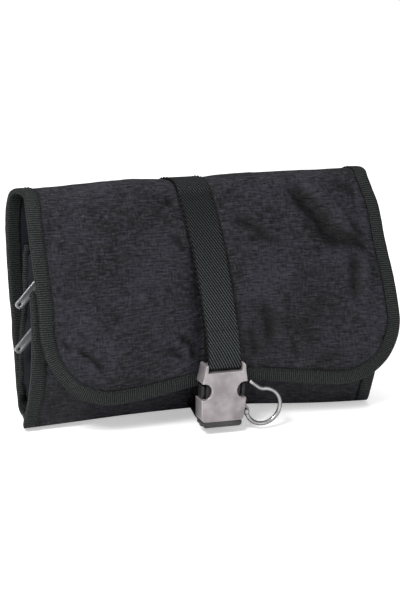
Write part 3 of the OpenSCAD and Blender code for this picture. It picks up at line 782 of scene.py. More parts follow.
def top_lift(x, t):
    """How far the back's and flap's fabric stands out of its profile, and its painted shade in the folds'
    hollows and along tape and strap
    """
    size = sizes()
    s = t - FOLD_T
    edge = np.minimum(top_half_width(t) - np.abs(x), FOLD_T + size.flap_length - t)
    inside = edge - size.binding_width
    strap = np.abs(x - strap_middle(t) + flap_drift(t)) - size.strap_width / 2
    free = ease(inside, *FREE_TAPE_SPAN) * ease(t, *FREE_UP_SPAN)
    free *= STRAP_SLACK + (1 - STRAP_SLACK) * ease(strap, *FREE_STRAP_SPAN)
    puff = PUFF * ease(edge, *PUFF_EDGE_SPAN) * ease(s, *PUFF_DOWN_SPAN)
    slack = waves(x, t, TOP_WAVES) + creases(x, t, TOP_CREASES)
    gather = wave(x, t, across=5.5, along=30, seed=40.2, octaves=2) * bell(inside - GATHER_FROM, GATHER_REACH)
    flap = ease(s, *FLAP_DOWN_SPAN)
    folds, painted_shade = fold_lift(x, s)
    near = ease(inside, *FOLD_TAPE_SPAN) * ease(strap, *FOLD_STRAP_SPAN)
    broken = (1 - PAINTED_SHADE_EVEN) * wave(x, t, across=9, along=3.5, seed=61.0)
    painted_shade *= near * flap * np.clip(PAINTED_SHADE_EVEN + broken, 0, 1)
    # Painted shade: a dark line beside the tape and the strap, where they would cast shadow
    painted_shade += (bell(inside, TAPE_SHADE_REACH) + bell(strap, STRAP_SHADE_REACH)) * SHADE
    lift = slack * free * (BACK_SLACK + (1 - BACK_SLACK) * flap) + folds * near * flap
    return lift + puff * free + gather * GATHER * flap, painted_shade


def front_lift(x, t):
    """The same for the base and the front panel"""
    size = sizes()
    inside = np.minimum(size.panel_width / 2 - np.abs(x), FRONT.length - t) - size.binding_width
    free = ease(inside, *FREE_TAPE_SPAN) * ease(t - FOOT_T, *FREE_FOOT_SPAN)
    slack = waves(x, t, FRONT_WAVES) + creases(x, t, FRONT_CREASES)
    # The second value is painted shade along the tape
    return np.clip(slack * free, *FRONT_LIFT_LIMITS), bell(inside, TAPE_SHADE_REACH) * SHADE


# The inner face follows the outer one by this share, and stays at least this far under it
INNER_FOLLOWS, LEAST_SHEET = 0.15, 1.0


def panel(name, profile, half, lift, step):
    """A lined panel on a profile, with the given half width and lift, carrying its painted shade as an
    attribute
    """
    t = np.linspace(0, profile.length, int(profile.length / step) + 1)
    width = half(t)
    u = np.linspace(-1, 1, int(2 * width.max() / step) + 1)
    x, t = u[None, :] * width[:, None], np.repeat(t[:, None], len(u), 1)
    out, painted_shade = lift(x, t)
    under = np.minimum(-sizes().sheet_thickness - INNER_FOLLOWS * np.clip(out, -1, 1), out - LEAST_SHEET)
    made = slab(name, lay(profile, x, t, out), lay(profile, x, t, under), together(x, t),
                ["shell_fabric", "lining_fabric"])
    # Painted shade, stored on both faces for the shell's material
    deep = np.concatenate([np.clip(painted_shade, 0, 1).ravel()] * 2)
    made.data.attributes.new("Painted shade", "FLOAT", "POINT").data.foreach_set("value", deep.astype(np.float32))
    return made


TOP_STEP, FRONT_STEP = 1.4, 1.6


class BAG_OT_shell(bpy.types.Operator):
    """Makes the crinkled outer strip: back, top fold and flap, then base and front panel"""
    bl_idname = "bag.shell"
    bl_label = "Outer fabric"

    def execute(self, context):
        half = sizes().panel_width / 2
        top = panel("top_shell", TOP, top_half_width, top_lift, TOP_STEP)
        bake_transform(top)
        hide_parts("back_panel", "flap_panel")
        front = panel("front_shell", FRONT, lambda t: np.full_like(t, half), front_lift, FRONT_STEP)
        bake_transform(front)
        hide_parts("front_panel")
        return {"FINISHED"}


# Edge tape: its folded section as (distance in from the edge, height over the outer face), the height of its
# middle, and how far from there its two faces begin
TAPE_SECTION = [
    (9.0, -0.1), (8.95, 0.62), (8.4, 0.92), (6.6, 1.0), (4.0, 1.06), (1.6, 1.02), (0.2, 0.86), (-0.6, 0.4),
    (-0.9, -0.4), (-0.95, -1.25), (-0.9, -2.1), (-0.6, -2.9), (0.2, -3.34), (1.6, -3.5), (4.0, -3.54),
    (6.6, -3.48), (8.4, -3.4), (8.95, -3.1), (9.0, -2.4), (8.6, -1.25)]
TAPE_MIDDLE, TAPE_FACES = -1.25, 1.5
TAPE_STEP = 1.5
# Unevenness of the tape: sway of its line, then swell of its faces by ripple and by sway
TAPE_SWAY, TAPE_RIPPLE, TAPE_SWELL = 0.5, 0.16, 0.18
# Where the tape's outer face rises from the base
TAPE_UP_SPAN, TAPE_FOOT_SPAN = (0, 8), (-4, 2)


def mirrored(half_path):
    """A path and, after its last point, its mirror image back to the start"""
    return np.concatenate([half_path, (half_path * [-1, 1])[-2::-1]])


def top_rim(inset=0.0):
    """The edge of the back and flap in flat places (x, t), from the left foot round to the right foot"""
    size = sizes()
    r, end = size.corner_radius, FOLD_T + size.flap_length
    t = np.linspace(0, end - r, num=240)
    left = together(-top_half_width(t) + inset, t)
    a = np.linspace(0, math.pi / 2, num=40)[1:]
    corner = together(r - size.flap_width / 2 - (r - inset) * np.cos(a), end - r + (r - inset) * np.sin(a))
    hem = together(np.linspace(corner[-1, 0], 0, num=80)[1:], end - inset)
    return mirrored(np.concatenate([left, corner, hem]))


def front_rim(inset=0.0):
    """The edge of the base and front panel in flat places"""
    cut = 2
    half, end = sizes().panel_width / 2 - inset, FRONT.length - inset
    left = together(-half, np.linspace(0, end - cut, num=90))
    return mirrored(np.concatenate([left, together(np.linspace(-half + cut, 0, num=70), end)]))


def edge_tape(name, profile, rim, seed):
    """Tape folded over a panel's edge"""
    rim = spaced(rim, TAPE_STEP)
    ahead = ahead_of(rim)
    inward = together(ahead[:, 1], -ahead[:, 0])
    section = np.array(TAPE_SECTION)
    run = lengths(rim)
    sway = wave_along(run, along=23, seed=seed)
    ripple = wave_along(run, along=6, seed=seed + 4.0, octaves=2)
    flat = rim[:, None, :] + inward[:, None, :] * section[None, :, :1]
    flat[..., 0] += (inward[:, 0] * sway * TAPE_SWAY)[:, None]
    over = section[None, :, 1] - TAPE_MIDDLE
    swell_of_face = np.sign(over) * (TAPE_RIPPLE * ripple + TAPE_SWELL * sway)[:, None]
    height = section[None, :, 1] + np.where(np.abs(over) > TAPE_FACES, swell_of_face, 0)
    t = flat[..., 1]
    on_base = ease(t, *TAPE_UP_SPAN) if profile is TOP else ease(t - FOOT_T, *TAPE_FOOT_SPAN)
    height = np.where(height > 0, height * on_base, height)
    places = together(lengths(section)[None, :], run[:, None])
    return tube(name, lay(profile, flat[..., 0], t, height), places, "binding_tape")


class BAG_OT_binding(bpy.types.Operator):
    """Folds ribbed tape over the edges of the back, flap and front panel"""
    bl_idname = "bag.binding"
    bl_label = "Edge tape"

    def execute(self, context):
        top = edge_tape("top_edge_tape", TOP, top_rim(), seed=2.0)
        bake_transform(top)
        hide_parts("back_binding_left", "back_binding_right", "flap_binding")
        front = edge_tape("front_edge_tape", FRONT, front_rim(), seed=8.0)
        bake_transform(front)
        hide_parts("front_binding")
        return {"FINISHED"}


# Webbing: its section as (share of half width, share of half thickness)
WEB_SECTION = [
    (-1.0, -0.35), (-1.0, 0.35), (-0.97, 0.85), (-0.9, 1.0), (-0.45, 0.94), (0.0, 0.92), (0.45, 0.94),
    (0.9, 1.0), (0.97, 0.85), (1.0, 0.35), (1.0, -0.35), (0.97, -0.85), (0.9, -1.0), (0.45, -0.94),
    (0.0, -0.92), (-0.45, -0.94), (-0.9, -1.0), (-0.97, -0.85)]
WEB_STEP, WEB_SWAY, WEB_CLEAR = 1.4, 0.25, 0.15


def side_out(path):
    """The out way of a strap's path, square to it in Y and Z"""
    ahead = ahead_of(path[:, 1:])
    return together(0.0, ahead[:, 1], -ahead[:, 0])


def webbing(name, path):
    """A strap whose middle line follows a path in millimetres"""
    size = sizes()
    path = spaced(path, WEB_STEP)
    run = lengths(path)
    section = np.array(WEB_SECTION) * [size.strap_width / 2, size.strap_thickness / 2]
    rings = path[:, None, :] + side_out(path)[:, None, :] * section[None, :, 1:]
    rings[..., 0] += WEB_SWAY * wave_along(run, along=40, seed=71.0)[:, None] + section[None, :, 0]
    return tube(name, rings * MM, together(section[None, :, 0], run[:, None]), "webbing")


def curve_through(points, count=24):
    """A smooth path through a few points"""
    points = np.asarray(points, float)
    run = lengths(points)
    slope = np.gradient(points, run, axis=0)
    want = np.linspace(0, run[-1], count * (len(points) - 1) + 1)
    k = np.clip(np.searchsorted(run, want, side="right") - 1, 0, len(run) - 2)
    h = (run[k + 1] - run[k])[:, None]
    f = (want - run[k])[:, None] / h
    stay = (2 * f ** 3 - 3 * f ** 2 + 1) * points[k] + (3 * f ** 2 - 2 * f ** 3) * points[k + 1]
    return stay + (f ** 3 - 2 * f ** 2 + f) * slope[k] * h + (f ** 3 - f ** 2) * slope[k + 1] * h


BUCKLE_Y, MOUTH_Z = -46.14, 9.5
SOCKET_BAR = (BUCKLE_Y, MOUTH_Z + 39.3)
PLUG_BAR = (BUCKLE_Y + 3.5, MOUTH_Z - 3.2)
# Turns of the webbing round the two bars: bar, reach in Y and Z, first and last polar angle in degrees
SOCKET_LOOP = (SOCKET_BAR, (3.05, 2.75), 192, 360)
PLUG_LOOP = (PLUG_BAR, (3.0, 1.8), 85, 330)
# Where the long strap starts on the back, where it leaves the flap, and the part of its path, in steps from
# its end, that the turned-back end is sewn to
STRAP_LOW_T, STRAP_LEAVES, SEWN_BACK = 9.0, 4.0, slice(-12, -28, -1)
# Where the lower strap lies on the front panel, down from the panel's top
LOWER_FIRST, LOWER_LAST = 77, 93


def turned_round(bar, reach, first, last, count=14):
    """Points round a bar at a reach, between two polar angles in degrees"""
    a = np.radians(np.linspace(first, last, count))
    return together(0.0, bar[0] + reach[0] * np.cos(a), bar[1] + reach[1] * np.sin(a))


def laid_strap():
    """The long strap as far as the buckle: up the back, over the top, and down the flap, pulled straight"""
    h = WEB_CLEAR + sizes().strap_thickness / 2
    reach = turned_round(*SOCKET_LOOP)[0, 1:] - FLAP_C
    end = FLAP_R * (math.atan2(reach[1], reach[0]) - math.radians(FOLD_END))
    t = np.linspace(STRAP_LOW_T, FOLD_T + end, num=260)
    away = np.clip((t - FOLD_T - STRAP_LEAVES) / (end - STRAP_LEAVES), 0, 1) ** 2
    return lay(TOP, strap_middle(t) - flap_drift(t), t, h + away * (np.hypot(*reach) - FLAP_R - h)) / MM


def strap_path():
    """The long strap, turned round the socket's bar and sewn back on its own rear"""
    gap, rise = 0.12, [0, 0.2, 3.0]
    loop = turned_round(*SOCKET_LOOP)
    laid = laid_strap()
    rear = spaced(laid - side_out(laid) * (sizes().strap_thickness + gap), WEB_STEP)[SEWN_BACK]
    back = curve_through([loop[-1], loop[-1] + rise, rear[0]])
    return np.concatenate([laid, loop[1:], back[1:], rear[1:]])


def lower_strap_path():
    """The short strap: sewn on the front panel's foot, forward to the plug's bar and round it"""
    leaves, arrives = [-0.5, -8, -1.6], [0, 7.0, -0.5]
    t = FRONT.length - np.linspace(LOWER_FIRST, LOWER_LAST, num=24)
    laid = lay(FRONT, 0 * t, t, WEB_CLEAR + sizes().strap_thickness / 2) / MM
    loop = turned_round(*PLUG_LOOP)
    run = curve_through([laid[-2], laid[-1], laid[-1] + leaves, loop[0] + arrives, loop[0]])
    return np.concatenate([laid[:-2], run, loop[1:]])


class BAG_OT_straps(bpy.types.Operator):
    """Lays the webbing over the bag and round the buckle's two bars"""
    bl_idname = "bag.straps"
    bl_label = "Webbing"

    def execute(self, context):
        long = webbing("long_strap", strap_path())
        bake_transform(long)
        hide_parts("back_strap", "flap_strap", "strap_loop")
        short = webbing("lower_webbing", lower_strap_path())
        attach(short, "front")
        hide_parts("lower_strap")
        return {"FINISHED"}


# Rows of small like pieces, by Geometry Nodes

def new_rows(name, **inputs):
    """An empty Geometry Nodes tree from geometry to geometry: its tree and the values it is given"""
    tree = bpy.data.node_groups.new(name, "GeometryNodeTree")
    for way in ("INPUT", "OUTPUT"):
        tree.interface.new_socket("Geometry", in_out=way, socket_type="NodeSocketGeometry")
    add_inputs(tree, inputs)
    tree.interface.new_socket("Finish", in_out="INPUT", socket_type="NodeSocketMaterial")
    return tree, tree.nodes.new("NodeGroupInput").outputs


def finish_rows(tree, given, shape):
    """Makes a shape real, gives it its finish and sends it out of the tree"""
    real = put(tree, "GeometryNodeRealizeInstances", {"Geometry": shape})[0]
    done = put(tree, "GeometryNodeSetMaterial", {"Geometry": real, "Material": given["Finish"]})[0]
    tree.links.new(done, tree.nodes.new("NodeGroupOutput").inputs["Geometry"])
    return tree


def row_tree():
    """Geometry Nodes: rounded beads at an even pitch along edges"""
    tree, given = new_rows("Row of beads", Pitch=0.003, Size=(0.0003, 0.0003, 0.001))
    line = put(tree, "GeometryNodeMeshToCurve", {"Mesh": given["Geometry"]})[0]
    dots = put(tree, "GeometryNodeCurveToPoints", {"Curve": line, "Length": given["Pitch"]}, mode="LENGTH")
    bead = put(tree, "GeometryNodeMeshUVSphere", {"Segments": 6, "Rings": 4, "Radius": 1.0})[0]
    shaped = put(tree, "GeometryNodeTransform", {"Geometry": bead, "Scale": given["Size"]})[0]
    smooth = put(tree, "GeometryNodeSetShadeSmooth", {"Geometry": shaped})[0]
    beads = {"Points": dots["Points"], "Instance": smooth, "Rotation": dots["Rotation"]}
    return finish_rows(tree, given, put(tree, "GeometryNodeInstanceOnPoints", beads)[0])


def baked(name, points, edges, tree, **values):
    """Runs a tree on points and edges once and keeps the result as a plain mesh"""
    mesh = bpy.data.meshes.new(name + "_start")
    mesh.from_pydata(points, edges, [])
    source = added(name + "_start", mesh)
    modifier = source.modifiers.new("Row", "NODES")
    modifier.node_group = tree
    for item in tree.interface.items_tree:
        if item.in_out == "INPUT" and item.name in values:
            modifier[item.identifier] = values[item.name]
    mesh = evaluated(source)
    bpy.data.objects.remove(source)
    mesh.name = name
    return added(name, mesh)


def bead_row(name, rows, pitch, size, finish):
    """Beads of one size along several rows of points, in metres"""
    points, edges = [], []
    for row in rows:
        first = len(points)
        points += [tuple(p) for p in row]
        edges += [(first + i, first + i + 1) for i in range(len(row) - 1)]
    tree = bpy.data.node_groups.get("Row of beads") or row_tree()
    return baked(name, points, edges, tree, Pitch=pitch * MM, Size=tuple(v * MM for v in size),
                 Finish=material(finish))


# Stitches: height on the tape's two faces and over the straps, the thread's half thickness, pitch and length
# in stitches, and distance in from an edge
STITCH_OVER, STITCH_UNDER, STRAP_PROUD, LOWER_PROUD = 1.02, -3.5, 0.05, 0.04
TAPE_BEAD, STRAP_BEAD = (0.3, 0.36), (0.3, 0.5)
TAPE_PITCH, STRAP_PITCH, STRAP_STITCH = 1.36, 1.24, 0.8
STITCH_INSET, SEAM_INSET, CROSS_INSET = 1.5, 0.9, 1.6
# Rows along and across the long strap, in its steps, rows across the lower strap, down from the front panel's
# top, and where the tape's stitches start up the back
LONG_SEAM, LONG_CROSS, LOWER_CROSS, TOP_SEWN_FROM = slice(2, -8), (2, 9, -12), (79, 84), 9


def strap_edges():
    """Rows of stitches along both edges of the long strap, and across it where it is sewn"""
    size = sizes()
    path = spaced(laid_strap(), WEB_STEP)
    face = path + side_out(path) * (size.strap_thickness / 2 + STRAP_PROUD)
    half = size.strap_width / 2
    rows = [(face[LONG_SEAM] + [side * (half - SEAM_INSET), 0, 0]) * MM for side in (-1, 1)]
    across = np.linspace(-1, 1, num=12)[:, None] * [half - CROSS_INSET, 0, 0]
    return rows + [(face[i] + across) * MM for i in LONG_CROSS]


def rim_stitches(profile, rim, start):
    """Rows of stitches along a tape, on both faces, from a start along the profile"""
    rim = spaced(rim, TAPE_STEP)
    rim = rim[rim[:, 1] > start]
    return [lay(profile, *rim.T, height) for height in (STITCH_OVER, STITCH_UNDER)]


class BAG_OT_stitches(bpy.types.Operator):
    bl_idname = "bag.stitches"
    bl_label = "Stitches"

    def execute(self, context):
        size = sizes()
        length_of_stitch = size.stitch_length
        inset = size.binding_width - STITCH_INSET
        bead = (*TAPE_BEAD, length_of_stitch / 2)
        rows = rim_stitches(TOP, top_rim(inset), TOP_SEWN_FROM)
        made = bead_row("top_stitches", rows, length_of_stitch * TAPE_PITCH, bead, "thread")
        strap = bead_row("strap_stitches", strap_edges(), length_of_stitch * STRAP_PITCH,
                         (*STRAP_BEAD, length_of_stitch / 2 * STRAP_STITCH), "thread")
        for piece in (made, strap):
            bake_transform(piece)
        rows = rim_stitches(FRONT, front_rim(inset), FOOT_T)
        x = np.linspace(-1, 1, num=12) * (size.strap_width / 2 - CROSS_INSET)
        over = WEB_CLEAR + size.strap_thickness + LOWER_PROUD
        rows += [lay(FRONT, x, FRONT.length - down, over) for down in LOWER_CROSS]
        second = bead_row("front_stitches", rows, length_of_stitch * TAPE_PITCH, bead, "thread")
        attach(second, "front")
        return {"FINISHED"}


# Zips: node, Y of the pouch's face, height, way that the face looks, body
ZIPS = [("back_zip", 9.25, 107.0, -1, "back"), ("front_zip", -3.0, 76.0, 1, "front")]
ZIP_HALF = 119.0
# Zip tape: half width, heights of its two faces over the pouch, sag, and its rows out from the middle
ZIP_TAPE_HALF, ZIP_TAPE_HIGH, ZIP_TAPE_LOW, ZIP_TAPE_SAG = 11.0, 0.8, 0.05, 0.12
ZIP_TAPE_ROWS = (0.5, 1.2, 3.0, 7.0, ZIP_TAPE_HALF - 0.4, ZIP_TAPE_HALF)
# Coil and seam: distance in from the zip's ends, height over the tape, distance from the middle, half size,
# and the seam's pitch
COIL_INSET, COIL_OVER, COIL_ASIDE, COIL_BEAD = 1, 0.38, 1.0, (0.55, 1.45, 0.72)
SEAM_END_INSET, SEAM_OVER, SEAM_ASIDE = 2, 0.1, ZIP_TAPE_HALF - 2
SEAM_BEAD, SEAM_PITCH = (0.2, 0.2, 1.2), 3.4


def zip_row(face, z, out, inset, over, aside, late=0.0):
    """A row of points along a zip, at a height over its tape and a distance from its middle"""
    run = np.linspace(-ZIP_HALF + inset + late, ZIP_HALF - inset, num=60)
    return together(run, face + out * (ZIP_TAPE_HIGH + over), z + aside) * MM


class BAG_OT_zips(bpy.types.Operator):
    """Makes each zip's two tapes, its interlocked coil and its seams"""
    bl_idname = "bag.zips"
    bl_label = "Zips"

    def execute(self, context):
        pitch = sizes().tooth_pitch
        x = np.linspace(-ZIP_HALF, ZIP_HALF, num=120)
        for node, face, z, out, body in ZIPS:
            tapes, teeth, seams = [], [], []
            for side, word, late in ((-1, "lower", 0), (1, "upper", pitch / 2)):
                xx, vv = np.meshgrid(x, np.array(ZIP_TAPE_ROWS) * side)
                sag = ZIP_TAPE_SAG * wave(xx, vv, across=18, along=9, seed=81.0 + side)
                top = together(xx, face + out * (ZIP_TAPE_HIGH + sag), z + vv) * MM
                low = together(xx, face + out * ZIP_TAPE_LOW, z + vv) * MM
                tapes.append(slab(f"{node}_tape_{word}", top, low, together(xx, vv), ["zip_tape"] * 2))
                teeth.append(zip_row(face, z, out, COIL_INSET, COIL_OVER, side * COIL_ASIDE, late))
                seams.append(zip_row(face, z, out, SEAM_END_INSET, SEAM_OVER, side * SEAM_ASIDE))
            coil = bead_row(f"{node}_coil", teeth, pitch, COIL_BEAD, "zip_teeth")
            sewn = bead_row(f"{node}_stitches", seams, SEAM_PITCH, SEAM_BEAD, "thread")
            for piece in (*tapes, coil, sewn):
                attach(piece, body)
            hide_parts(node)
        return {"FINISHED"}


# Pouches: node, half width, low and high Y, low and high Z, zip height, way that the zip looks, body
POUCHES = [("back_pouch", 124.0, 9.25, 20.45, 8.0, 130.9, 107.0, -1, "back"),
           ("front_pouch", 124.0, -18.2, -3.0, 12.0, 92.0, 76.0, 1, "front")]
# Pillow: powers of its thickness across, up and over all, half thickness of its outline, rounded corners
PILLOW_ACROSS, PILLOW_UP, PILLOW_ALL, PILLOW_RIM = 12, 7, 0.42, 0.25
PILLOW_CORNER, PILLOW_CORNER_POWER = 0.05, 6
# Cloth solver: size of the mesh, frames, and how far any point may move
VOXEL, SWELL_FRAMES, SWELL_CAP = 0.0036, 20, 2.4
CLOTH = {"vertex_group_mass": "Held", "quality": 6, "mass": 0.2, "tension_stiffness": 12,
         "compression_stiffness": 12, "bending_stiffness": 0.4, "shrink_min": -0.05, "use_pressure": True,
         "uniform_pressure_force": 4.0}
# Held points: distance from the zip's tape, from its face, from the ends, from low and high, and behind
HELD_TAPE, HELD_FACE, HELD_END, HELD_EDGE, HELD_REAR = 3, 4, 5, 4, -0.5
# End tapes: inset, half width and thickness, trim above and below, reach and share of the narrow ends, slack
END_INSET, END_HALF, END_T, END_TRIM, END_REACH, END_SHARE, END_SLACK = 1.6, 3.0, 1.5, 7, 14, 0.9, 2.2


def pillow(name, half, y0, y1, z0, z1):
    """A closed pillow inside a box, thin along its sewn outline"""
    u, v = np.meshgrid(np.linspace(-1, 1, num=61), np.linspace(-1, 1, num=41))
    fat = np.clip((1 - np.abs(u) ** PILLOW_ACROSS) * (1 - np.abs(v) ** PILLOW_UP), 0, 1) ** PILLOW_ALL
    shrink = 1 - PILLOW_CORNER * np.abs(u * v) ** PILLOW_CORNER_POWER
    x, z = u * half * shrink, (z0 + z1) / 2 + v * (z1 - z0) / 2 * shrink
    thick = ((y1 - y0) / 2 - PILLOW_RIM) * fat + PILLOW_RIM
    faces = [together(x, (y0 + y1) / 2 + side * thick, z) * MM for side in (-1, 1)]
    return slab(name, *faces, together(x, z), ["lining_fabric", "lining_fabric"])


def settle(made):
    """Takes an object's modifiers into its mesh"""
    made.data = evaluated(made)
    made.modifiers.clear()


def swell(made, pinned):
    """Blows a closed mesh up with the cloth solver, holding some points and capping how far any moves"""
    scene = bpy.context.scene
    remesh = made.modifiers.new("Remesh", "REMESH")
    remesh.mode = "VOXEL"
    remesh.voxel_size = VOXEL
    remesh.use_smooth_shade = True
    settle(made)
    start = np.array([v.co for v in made.data.vertices])
    held = made.vertex_groups.new(name="Held")
    held.add([int(i) for i in np.nonzero(pinned(start / MM))[0]], 1.0, "REPLACE")
    cloth = made.modifiers.new("Cloth", "CLOTH")
    for key, value in CLOTH.items():
        setattr(cloth.settings, key, value)
    cloth.settings.effector_weights.gravity = 0
    cloth.collision_settings.use_collision = False
    for number in range(1, SWELL_FRAMES + 1):
        scene.frame_set(number)
    settle(made)
    made.vertex_groups.clear()
    scene.frame_set(1)
    moved = np.array([v.co for v in made.data.vertices]) - start
    reach = np.linalg.norm(moved, axis=1)[:, None]
    moved *= np.minimum(1.0, SWELL_CAP * MM / np.maximum(reach, 1e-9))
    made.data.vertices.foreach_set("co", (start + moved).astype(np.float32).ravel())
    made.data.update()
    smooth = made.modifiers.new("Smooth", "SUBSURF")
    smooth.levels = 1
    smooth.render_levels = 1
    settle(made)


def end_tapes(node, half, middle, z0, z1):
    """Tape down a pouch's two ends, narrower above and below and slack between"""
    a = np.linspace(0, math.tau, num=14, endpoint=False)[None, :]
    z = np.linspace(z0 + END_TRIM, z1 - END_TRIM, num=60)[:, None]
    inside = (z >= z0 + END_REACH) & (z <= z1 - END_REACH)
    wide = END_HALF * np.where(inside, 1.0, END_SHARE)
    tapes = []
    for side, word in ((-1, "left"), (1, "right")):
        slack = inside * wave_along(z, along=34, seed=90.0 + side, octaves=2)
        rings = together(side * (half - END_INSET + slack) + wide * np.cos(a),
                         middle + END_T * np.sin(a) + END_SLACK * slack, z) * MM
        tapes.append(tube(f"{node}_end_{word}", rings, together(END_HALF * a, z), "binding_tape"))
    return tapes


class BAG_OT_pouches(bpy.types.Operator):
    """Makes the two soft pouches and the tape on their ends"""
    bl_idname = "bag.pouches"
    bl_label = "Pouches"

    def execute(self, context):
        for node, half, y0, y1, z0, z1, zip_z, out, body in POUCHES:
            face = y1 if out > 0 else y0
            middle = (y0 + y1) / 2
            made = pillow(f"{node}_soft", half, y0, y1, z0, z1)

            def pinned(p):
                x, y, z = p.T
                near_zip = (np.abs(z - zip_z) < ZIP_TAPE_HALF + HELD_TAPE) & (np.abs(y - face) < HELD_FACE)
                rim = (np.abs(x) > half - HELD_END) | (z < z0 + HELD_EDGE) | (z > z1 - HELD_EDGE)
                return near_zip | rim | ((y - middle) * out < HELD_REAR)

            swell(made, pinned)
            made.data.materials.clear()
            made.data.materials.append(material("lining_fabric"))
            map_cloth(made.data, np.array([v.co for v in made.data.vertices])[:, [0, 2]] / MM)
            shade_smooth(made.data)
            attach(made, body)
            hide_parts(node)
            tapes = end_tapes(node, half, middle, z0, z1)
            for tape in tapes:
                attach(tape, body)
            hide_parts(f"{node}_binding")
        return {"FINISHED"}


def net_tree():
    """Geometry Nodes: a flat net of six-sided gaps"""
    tree, given = new_rows("Flat net", Width=0.24, Height=0.06, Cell=0.0042, Thread=0.0003)
    across, up = [put(tree, "ShaderNodeMath", {0: given[side], 1: given["Cell"]}, operation="DIVIDE")[0]
                  for side in ("Width", "Height")]
    grid = put(tree, "GeometryNodeMeshGrid", {"Size X": given["Width"], "Size Y": given["Height"],
                                              "Vertices X": across, "Vertices Y": up})[0]
    cut = put(tree, "GeometryNodeTriangulate", {"Mesh": grid})[0]
    cells = put(tree, "GeometryNodeDualMesh", {"Mesh": cut, "Keep Boundaries": True})[0]
    line = put(tree, "GeometryNodeMeshToCurve", {"Mesh": cells})[0]
    ring = put(tree, "GeometryNodeCurvePrimitiveCircle", {"Resolution": 4, "Radius": given["Thread"]})[0]
    thread = {"Curve": line, "Profile Curve": ring, "Fill Caps": True}
    return finish_rows(tree, given, put(tree, "GeometryNodeCurveToMesh", thread)[0])


# Net: half width, top and foot down from the top fold, overlap with the hem and the foot, half thread, depth
# under the lining, slack
NET_HALF, NET_TOP, NET_LOW, HEM_W = 120.0, 24.0, 100.0, 10.0
NET_IN_HEM, NET_PAST_LOW, NET_THREAD, NET_DEPTH, NET_SLACK = 2, 1, 0.26, 0.75, 0.25
# Hem: depth of its two faces under the lining, crown and pucker
HEM_INNER, HEM_OUTER, HEM_CROWN, HEM_PUCKER = 1.0, 0.15, 0.3, 0.22


class BAG_OT_net(bpy.types.Operator):
    """Hangs the net pocket with its elastic hem inside the flap"""
    bl_idname = "bag.net"
    bl_label = "Net pocket"

    def execute(self, context):
        size = sizes()
        lining = -size.sheet_thickness
        low, high = NET_TOP + HEM_W - NET_IN_HEM, NET_LOW + NET_PAST_LOW
        net = baked("flap_net", [(0, 0, 0)], [], net_tree(), Width=2 * NET_HALF * MM,
                    Height=(high - low) * MM, Cell=size.net_cell * MM, Thread=NET_THREAD * MM,
                    Finish=material("net_thread"))
        x, y, z = np.array([v.co for v in net.data.vertices]).T / MM
        s = (low + high) / 2 - y
        deep = lining - NET_DEPTH - z + NET_SLACK * wave(x, s, across=26, along=18, seed=5.0)
        net.data.vertices.foreach_set("co", lay(TOP, x, FOLD_T + s, deep).astype(np.float32).ravel())
        net.data.update()
        x, s = np.meshgrid(np.linspace(-NET_HALF, NET_HALF, num=161),
                           np.linspace(NET_TOP, NET_TOP + HEM_W, num=9))
        pucker = HEM_PUCKER * wave(x, s, across=3.2, along=30, seed=13.0, octaves=2)
        crown = HEM_CROWN * np.cos((s - NET_TOP - HEM_W / 2) / HEM_W * math.pi)
        inner = lay(TOP, x, FOLD_T + s, lining - HEM_INNER - crown + pucker)
        outer = lay(TOP, x, FOLD_T + s, lining - HEM_OUTER)
        hem = slab("net_hem", inner, outer, together(s, x), ["binding_tape", "binding_tape"])
        for piece, node, slot in ((net, "flap_mesh", "net"), (hem, "mesh_hem", "binding_tape")):
            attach(piece, "flap")
            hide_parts(node)
        return {"FINISHED"}


# Rigid pieces: node, name, finish, rounding of its edges, body, slot
HARD = [("buckle_socket", "socket_half", "buckle_satin", 0.5, "flap", "buckle"),
        ("buckle_plug", "plug_half", "plug_satin", 0.35, "front", "buckle"),
        ("prong_left", "left_catch", "catch_satin", 0.3, "left_prong", "buckle"),
        ("prong_right", "right_catch", "catch_satin", 0.3, "right_prong", "buckle"),
        ("back_zip_slider", "back_slider_body", "zip_metal", 0.25, "back_slider", "zip_metal"),
        ("back_zip_pull", "back_pull_tab", "zip_metal", 0.3, "back_slider", "zip_metal"),
        ("front_zip_slider", "front_slider_body", "zip_metal", 0.25, "front_slider", "zip_metal"),
        ("front_zip_pull", "front_pull_tab", "zip_metal", 0.3, "front_slider", "zip_metal")]
# Angles between faces: taken as flat, rounded, and shaded as an edge
FLAT_ANGLE, ROUNDED_ANGLE, EDGE_ANGLE = map(math.radians, (0.8, 28, 34))


def softened(node, name, finish, width):
    """A copy of a CAD solid with its sharp edges rounded"""
    source = frame["nodes"][node]
    work = bmesh.new()
    work.from_mesh(source.data)
    work.transform(source.matrix_world)
    bmesh.ops.remove_doubles(work, verts=work.verts, dist=1e-6)
    bmesh.ops.dissolve_limit(work, angle_limit=FLAT_ANGLE, verts=work.verts, edges=work.edges)
    sharp = [e for e in work.edges if len(e.link_faces) == 2 and e.calc_face_angle(0.0) > ROUNDED_ANGLE]
    bmesh.ops.bevel(work, geom=sharp, offset=width * MM, segments=2, profile=0.5, affect="EDGES",
                    clamp_overlap=True)
    bmesh.ops.triangulate(work, faces=[f for f in work.faces if len(f.verts) > 4])
    mesh = bpy.data.meshes.new(name)
    work.to_mesh(mesh)
    work.free()
    mesh.materials.append(material(finish))
    shade_smooth(mesh)
    mesh.set_sharp_from_angle(angle=EDGE_ANGLE)
    return added(name, mesh)


class BAG_OT_hardware(bpy.types.Operator):
    """Rounds the moulded and cast pieces: buckle, catches, sliders and pulls"""
    bl_idname = "bag.hardware"
    bl_label = "Buckle and zip metal"

    def execute(self, context):
        for node, name, finish, width, body, slot in HARD:
            made = softened(node, name, finish, width)
            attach(made, body)
            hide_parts(node)
        return {"FINISHED"}


